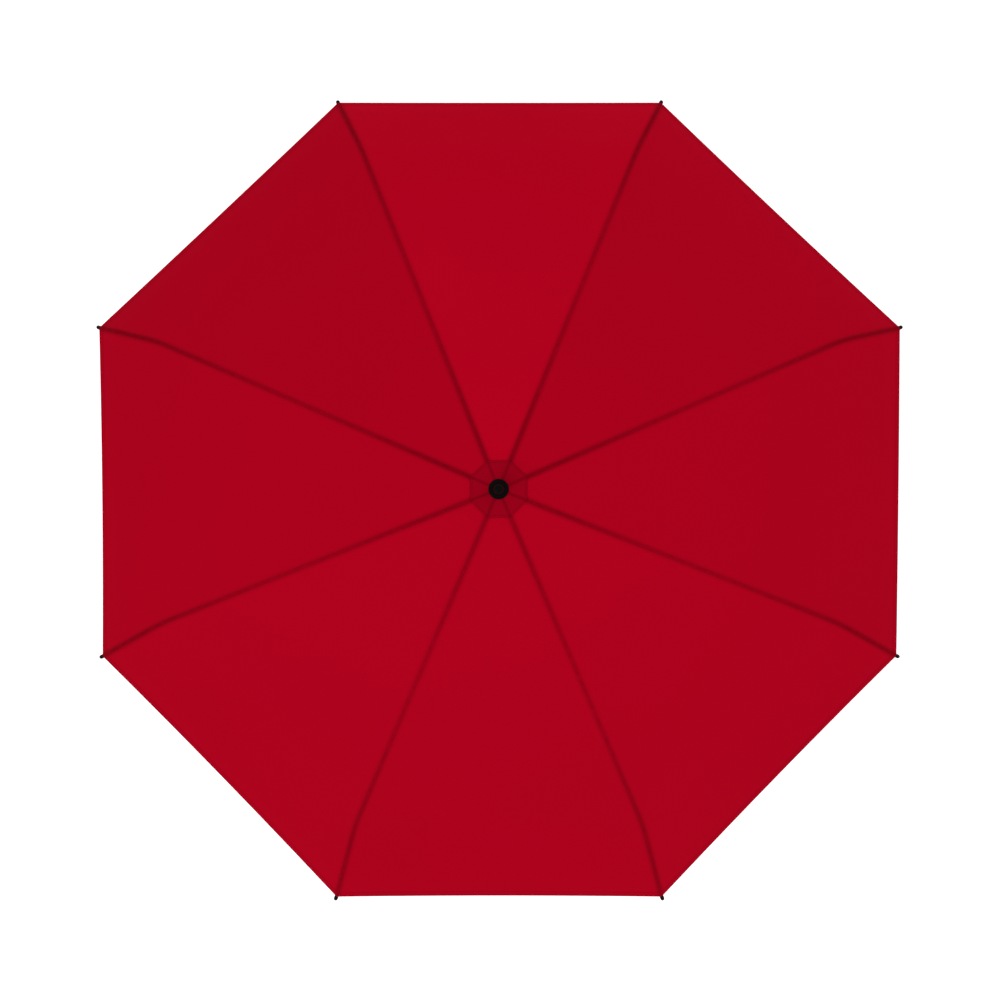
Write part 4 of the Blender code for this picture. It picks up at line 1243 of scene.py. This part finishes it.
def make_strap():
    """Doubled strap that hangs from the hem. Its two tabs pass the rib on both sides."""
    origin, out, side = strap_frame()
    tip_at = STRAP_TIP - STRAP_LENGTH
    z = np.concatenate([np.linspace(STRAP_ABOVE, tip_at, 50), tip_at - np.linspace(1, 8, 8) * MM])
    tip = np.clip((z + STRAP_LENGTH) / STRAP_TIP, 0, 1)
    half = STRAP_HALF * (0.5 + 0.5 * np.sqrt(1 - (1 - tip) ** 2))
    across = np.linspace(-1, 1, 13)[None, :] * half[:, None]
    ripple = 0.35 * MM * np.sin(across / (7 * MM) + z[:, None] / (21 * MM))
    point = origin + z[:, None, None] * Z + across[..., None] * side
    point = point + (strap_wave(z)[:, None] + ripple)[..., None] * out
    normal = facing(point, out)
    edge = np.minimum(half[:, None] - np.abs(across), (z + STRAP_LENGTH)[:, None])
    edge = np.minimum(edge, (STRAP_ABOVE - z)[:, None] + 1 * MM)
    strap = soft_strip("strap", point, normal, STRAP_THICK, edge, across, z)
    tabs = [make_tab(hand, way, origin, out, side) for way, hand in ((1, "left"), (-1, "right"))]
    snap = make_snap(origin, out)
    for piece in (strap, *tabs):
        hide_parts("tie_strap")
        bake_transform(piece)


def soft_strip(name, point, normal, thick, edge, across, run):
    """A doubled strip of cloth from a grid of points, with stitched edges."""
    shape = point.shape[:2]
    run = np.broadcast_to(np.asarray(run)[:, None], shape)
    values = {
        "seam": np.ones(shape),
        "hem": np.maximum(edge, 0),
        "shade": np.zeros(shape),
        "tone_and_shade": np.full(shape, 0.97),
        "thread": np.stack([run, np.broadcast_to(across, shape), np.zeros(shape)], axis=-1),
    }
    mesh = shell(name, point, normal, thick / 2, thick / 2, values)
    return put(name, mesh, STRAP_MATERIAL, None)


def make_tab(hand, way, origin, out, side):
    """Narrow tab from under the hem, past the rib, to the strap's top."""
    rib = STRAP_RIB
    gore = rib if way > 0 else rib - 1
    s = np.linspace(HEM_AT - 3 * MM, STRAP_AT - 5 * MM, 7)
    offsets = np.linspace(2.8 * MM, 10.4 * MM, 6)
    width = gore_width(gore, s)
    u = offsets[None, :] / width[:, None]
    u = u if way > 0 else 1 - u
    lines = np.broadcast_to(s[:, None], u.shape)
    flat = cloth_at(gore, lines, u) - cloth_normal(gore, lines, u) * 1.1 * MM
    down = np.array((7.5, 5.5, 3, 0.5, -2)) * MM
    front = (STRAP_THICK / 2 + 0.35 * MM) * out
    drop = origin + front + way * offsets[None, :, None] * side + down[:, None, None] * Z
    turn = 0.5 * (flat[-1] + drop[0]) + 0.9 * MM * Z
    point = np.concatenate([flat, turn[None], drop])
    normal = facing(point, out)
    across = np.broadcast_to(offsets[None, :] - offsets.mean(), point.shape[:2])
    edge = 3.8 * MM - np.abs(across)
    run = np.arange(len(point)) * 2.4 * MM
    return soft_strip(f"strap_tab_{hand}", point, normal, 0.6 * MM, edge, across, run)


def make_snap(origin, out):
    """Snap fastener: a domed cap in front and its ring behind."""
    z = 16 * MM - STRAP_LENGTH
    step = 1 * MM
    lean = math.atan2(float(strap_wave(z + step) - strap_wave(z - step)), 2 * step)
    at = Vector(origin + z * Z + strap_wave(z) * out)
    face = STRAP_THICK / 2
    cap = stepped(0, face, (0, 0), (5.7, 0), (6, 0.3), (6, 0.7), (5.7, 1.1), (4.9, 1.35), (4.5, 1.25))
    cap += stepped(0, face, (4.1, 1.45), (2, 1.85), (0, 1.95))
    ring = stepped(0, -face, (0, 0), (0, -0.5), (1.3, -0.5), (1.6, -1.5), (2.5, -1.6), (2.8, -0.7))
    ring += stepped(0, -face, (5.1, -0.6), (5.5, -0.3), (5.5, 0))
    turn = Matrix.Rotation(azimuth(STRAP_RIB), 4, "Z") @ Matrix.Rotation(math.radians(90) - lean, 4, "Y")
    made = []
    for name, profile in (("snap_cap", cap), ("snap_ring", ring)):
        mesh = turned(name, profile, 48)
        mesh.transform(Matrix.Translation(at) @ turn)
        made.append(put(name, mesh, PLASTIC, "strap", ["strap_snap"]))
    return made


def paint_inner_parts():
    """Materials for the CAD's own parts inside the handle and the shaft, whose shapes are right."""
    for node, look in (
        ("handle_core", PLASTIC),
        ("spring_seat", PLASTIC),
        ("spring_plunger", STEEL),
        ("crown_pin", STEEL),
        ("latch_tongue", STEEL),
    ):
        for slot in frame["nodes"][node].material_slots:
            slot.material = look


# ---- studio ----


def make_studio():
    scene = bpy.context.scene
    scene.view_settings.view_transform = "Standard"
    bm = bmesh.new()
    bmesh.ops.create_grid(bm, x_segments=1, y_segments=1, size=30)
    mesh = finished(bm, "floor")
    look = Look("floor", (0.8, 0.8, 0.8), 0.9, specular=0.1)
    look.set("Emission Color", (1, 1, 1, 1))
    look.set("Emission Strength", 0.62)
    # one-sided, so that the canopy's inside can be seen from below
    tree = look.tree
    clear = tree.nodes.new("ShaderNodeBsdfTransparent")
    mix = tree.nodes.new("ShaderNodeMixShader")
    behind = tree.nodes.new("ShaderNodeNewGeometry")
    tree.links.new(behind.outputs["Backfacing"], mix.inputs[0])
    tree.links.new(look.shader.outputs[0], mix.inputs[1])
    tree.links.new(clear.outputs[0], mix.inputs[2])
    tree.links.new(mix.outputs[0], tree.nodes["Material Output"].inputs["Surface"])
    mesh.materials.append(look.material)
    floor = bpy.data.objects.new("floor", mesh)
    floor.location = (0, 0, -0.4 * MM)
    scene.collection.objects.link(floor)
    world = bpy.data.worlds.new("studio")
    world.use_nodes = True
    sky = world.node_tree.nodes["Background"]
    sky.inputs["Color"].default_value = (1, 1, 1, 1)
    # as white as the floor where it is seen itself, and softer as light
    seen = world.node_tree.nodes.new("ShaderNodeLightPath")
    strength = world.node_tree.nodes.new("ShaderNodeMapRange")
    strength.inputs["To Min"].default_value = 0.72
    strength.inputs["To Max"].default_value = 1.1
    world.node_tree.links.new(seen.outputs["Is Camera Ray"], strength.inputs["Value"])
    world.node_tree.links.new(strength.outputs[0], sky.inputs["Strength"])
    scene.world = world
    for name, place, size, power in (("key", (-1.6, -1.8, 5.2), 3.2, 78), ("fill", (2.2, 1.6, 4.6), 3.4, 42)):
        lamp = bpy.data.lights.new(name, "AREA")
        lamp.shape = "DISK"
        lamp.size = size
        lamp.energy = power
        box = bpy.data.objects.new(name, lamp)
        box.location = place
        box.rotation_euler = (Vector((0, 0, 0.6)) - Vector(place)).to_track_quat("-Z", "Y").to_euler()
        box.visible_camera = False
        scene.collection.objects.link(box)
    lens = bpy.data.cameras.new("camera")
    lens.lens = 150
    lens.sensor_width = 36
    lens.clip_end = 100
    across = 1.449  # width of the view at the rim's height, in metres
    rim = float(rib_curve(HEM_AT, CORNER_LIFT)[1])
    camera = bpy.data.objects.new("camera", lens)
    camera.location = (0.0019, -0.015, rim + across * lens.lens / lens.sensor_width)
    scene.collection.objects.link(camera)
    scene.camera = camera


make_studio()
make_crown_cloth()
make_canopy()
make_rosette()
make_ribs()
make_rib_roots()
make_joiners()
make_stretchers()
make_tips()
make_ferrule()
make_shaft()
make_crown()
make_runner()
make_spring()
make_handle()
make_collar()
make_strap()
paint_inner_parts()
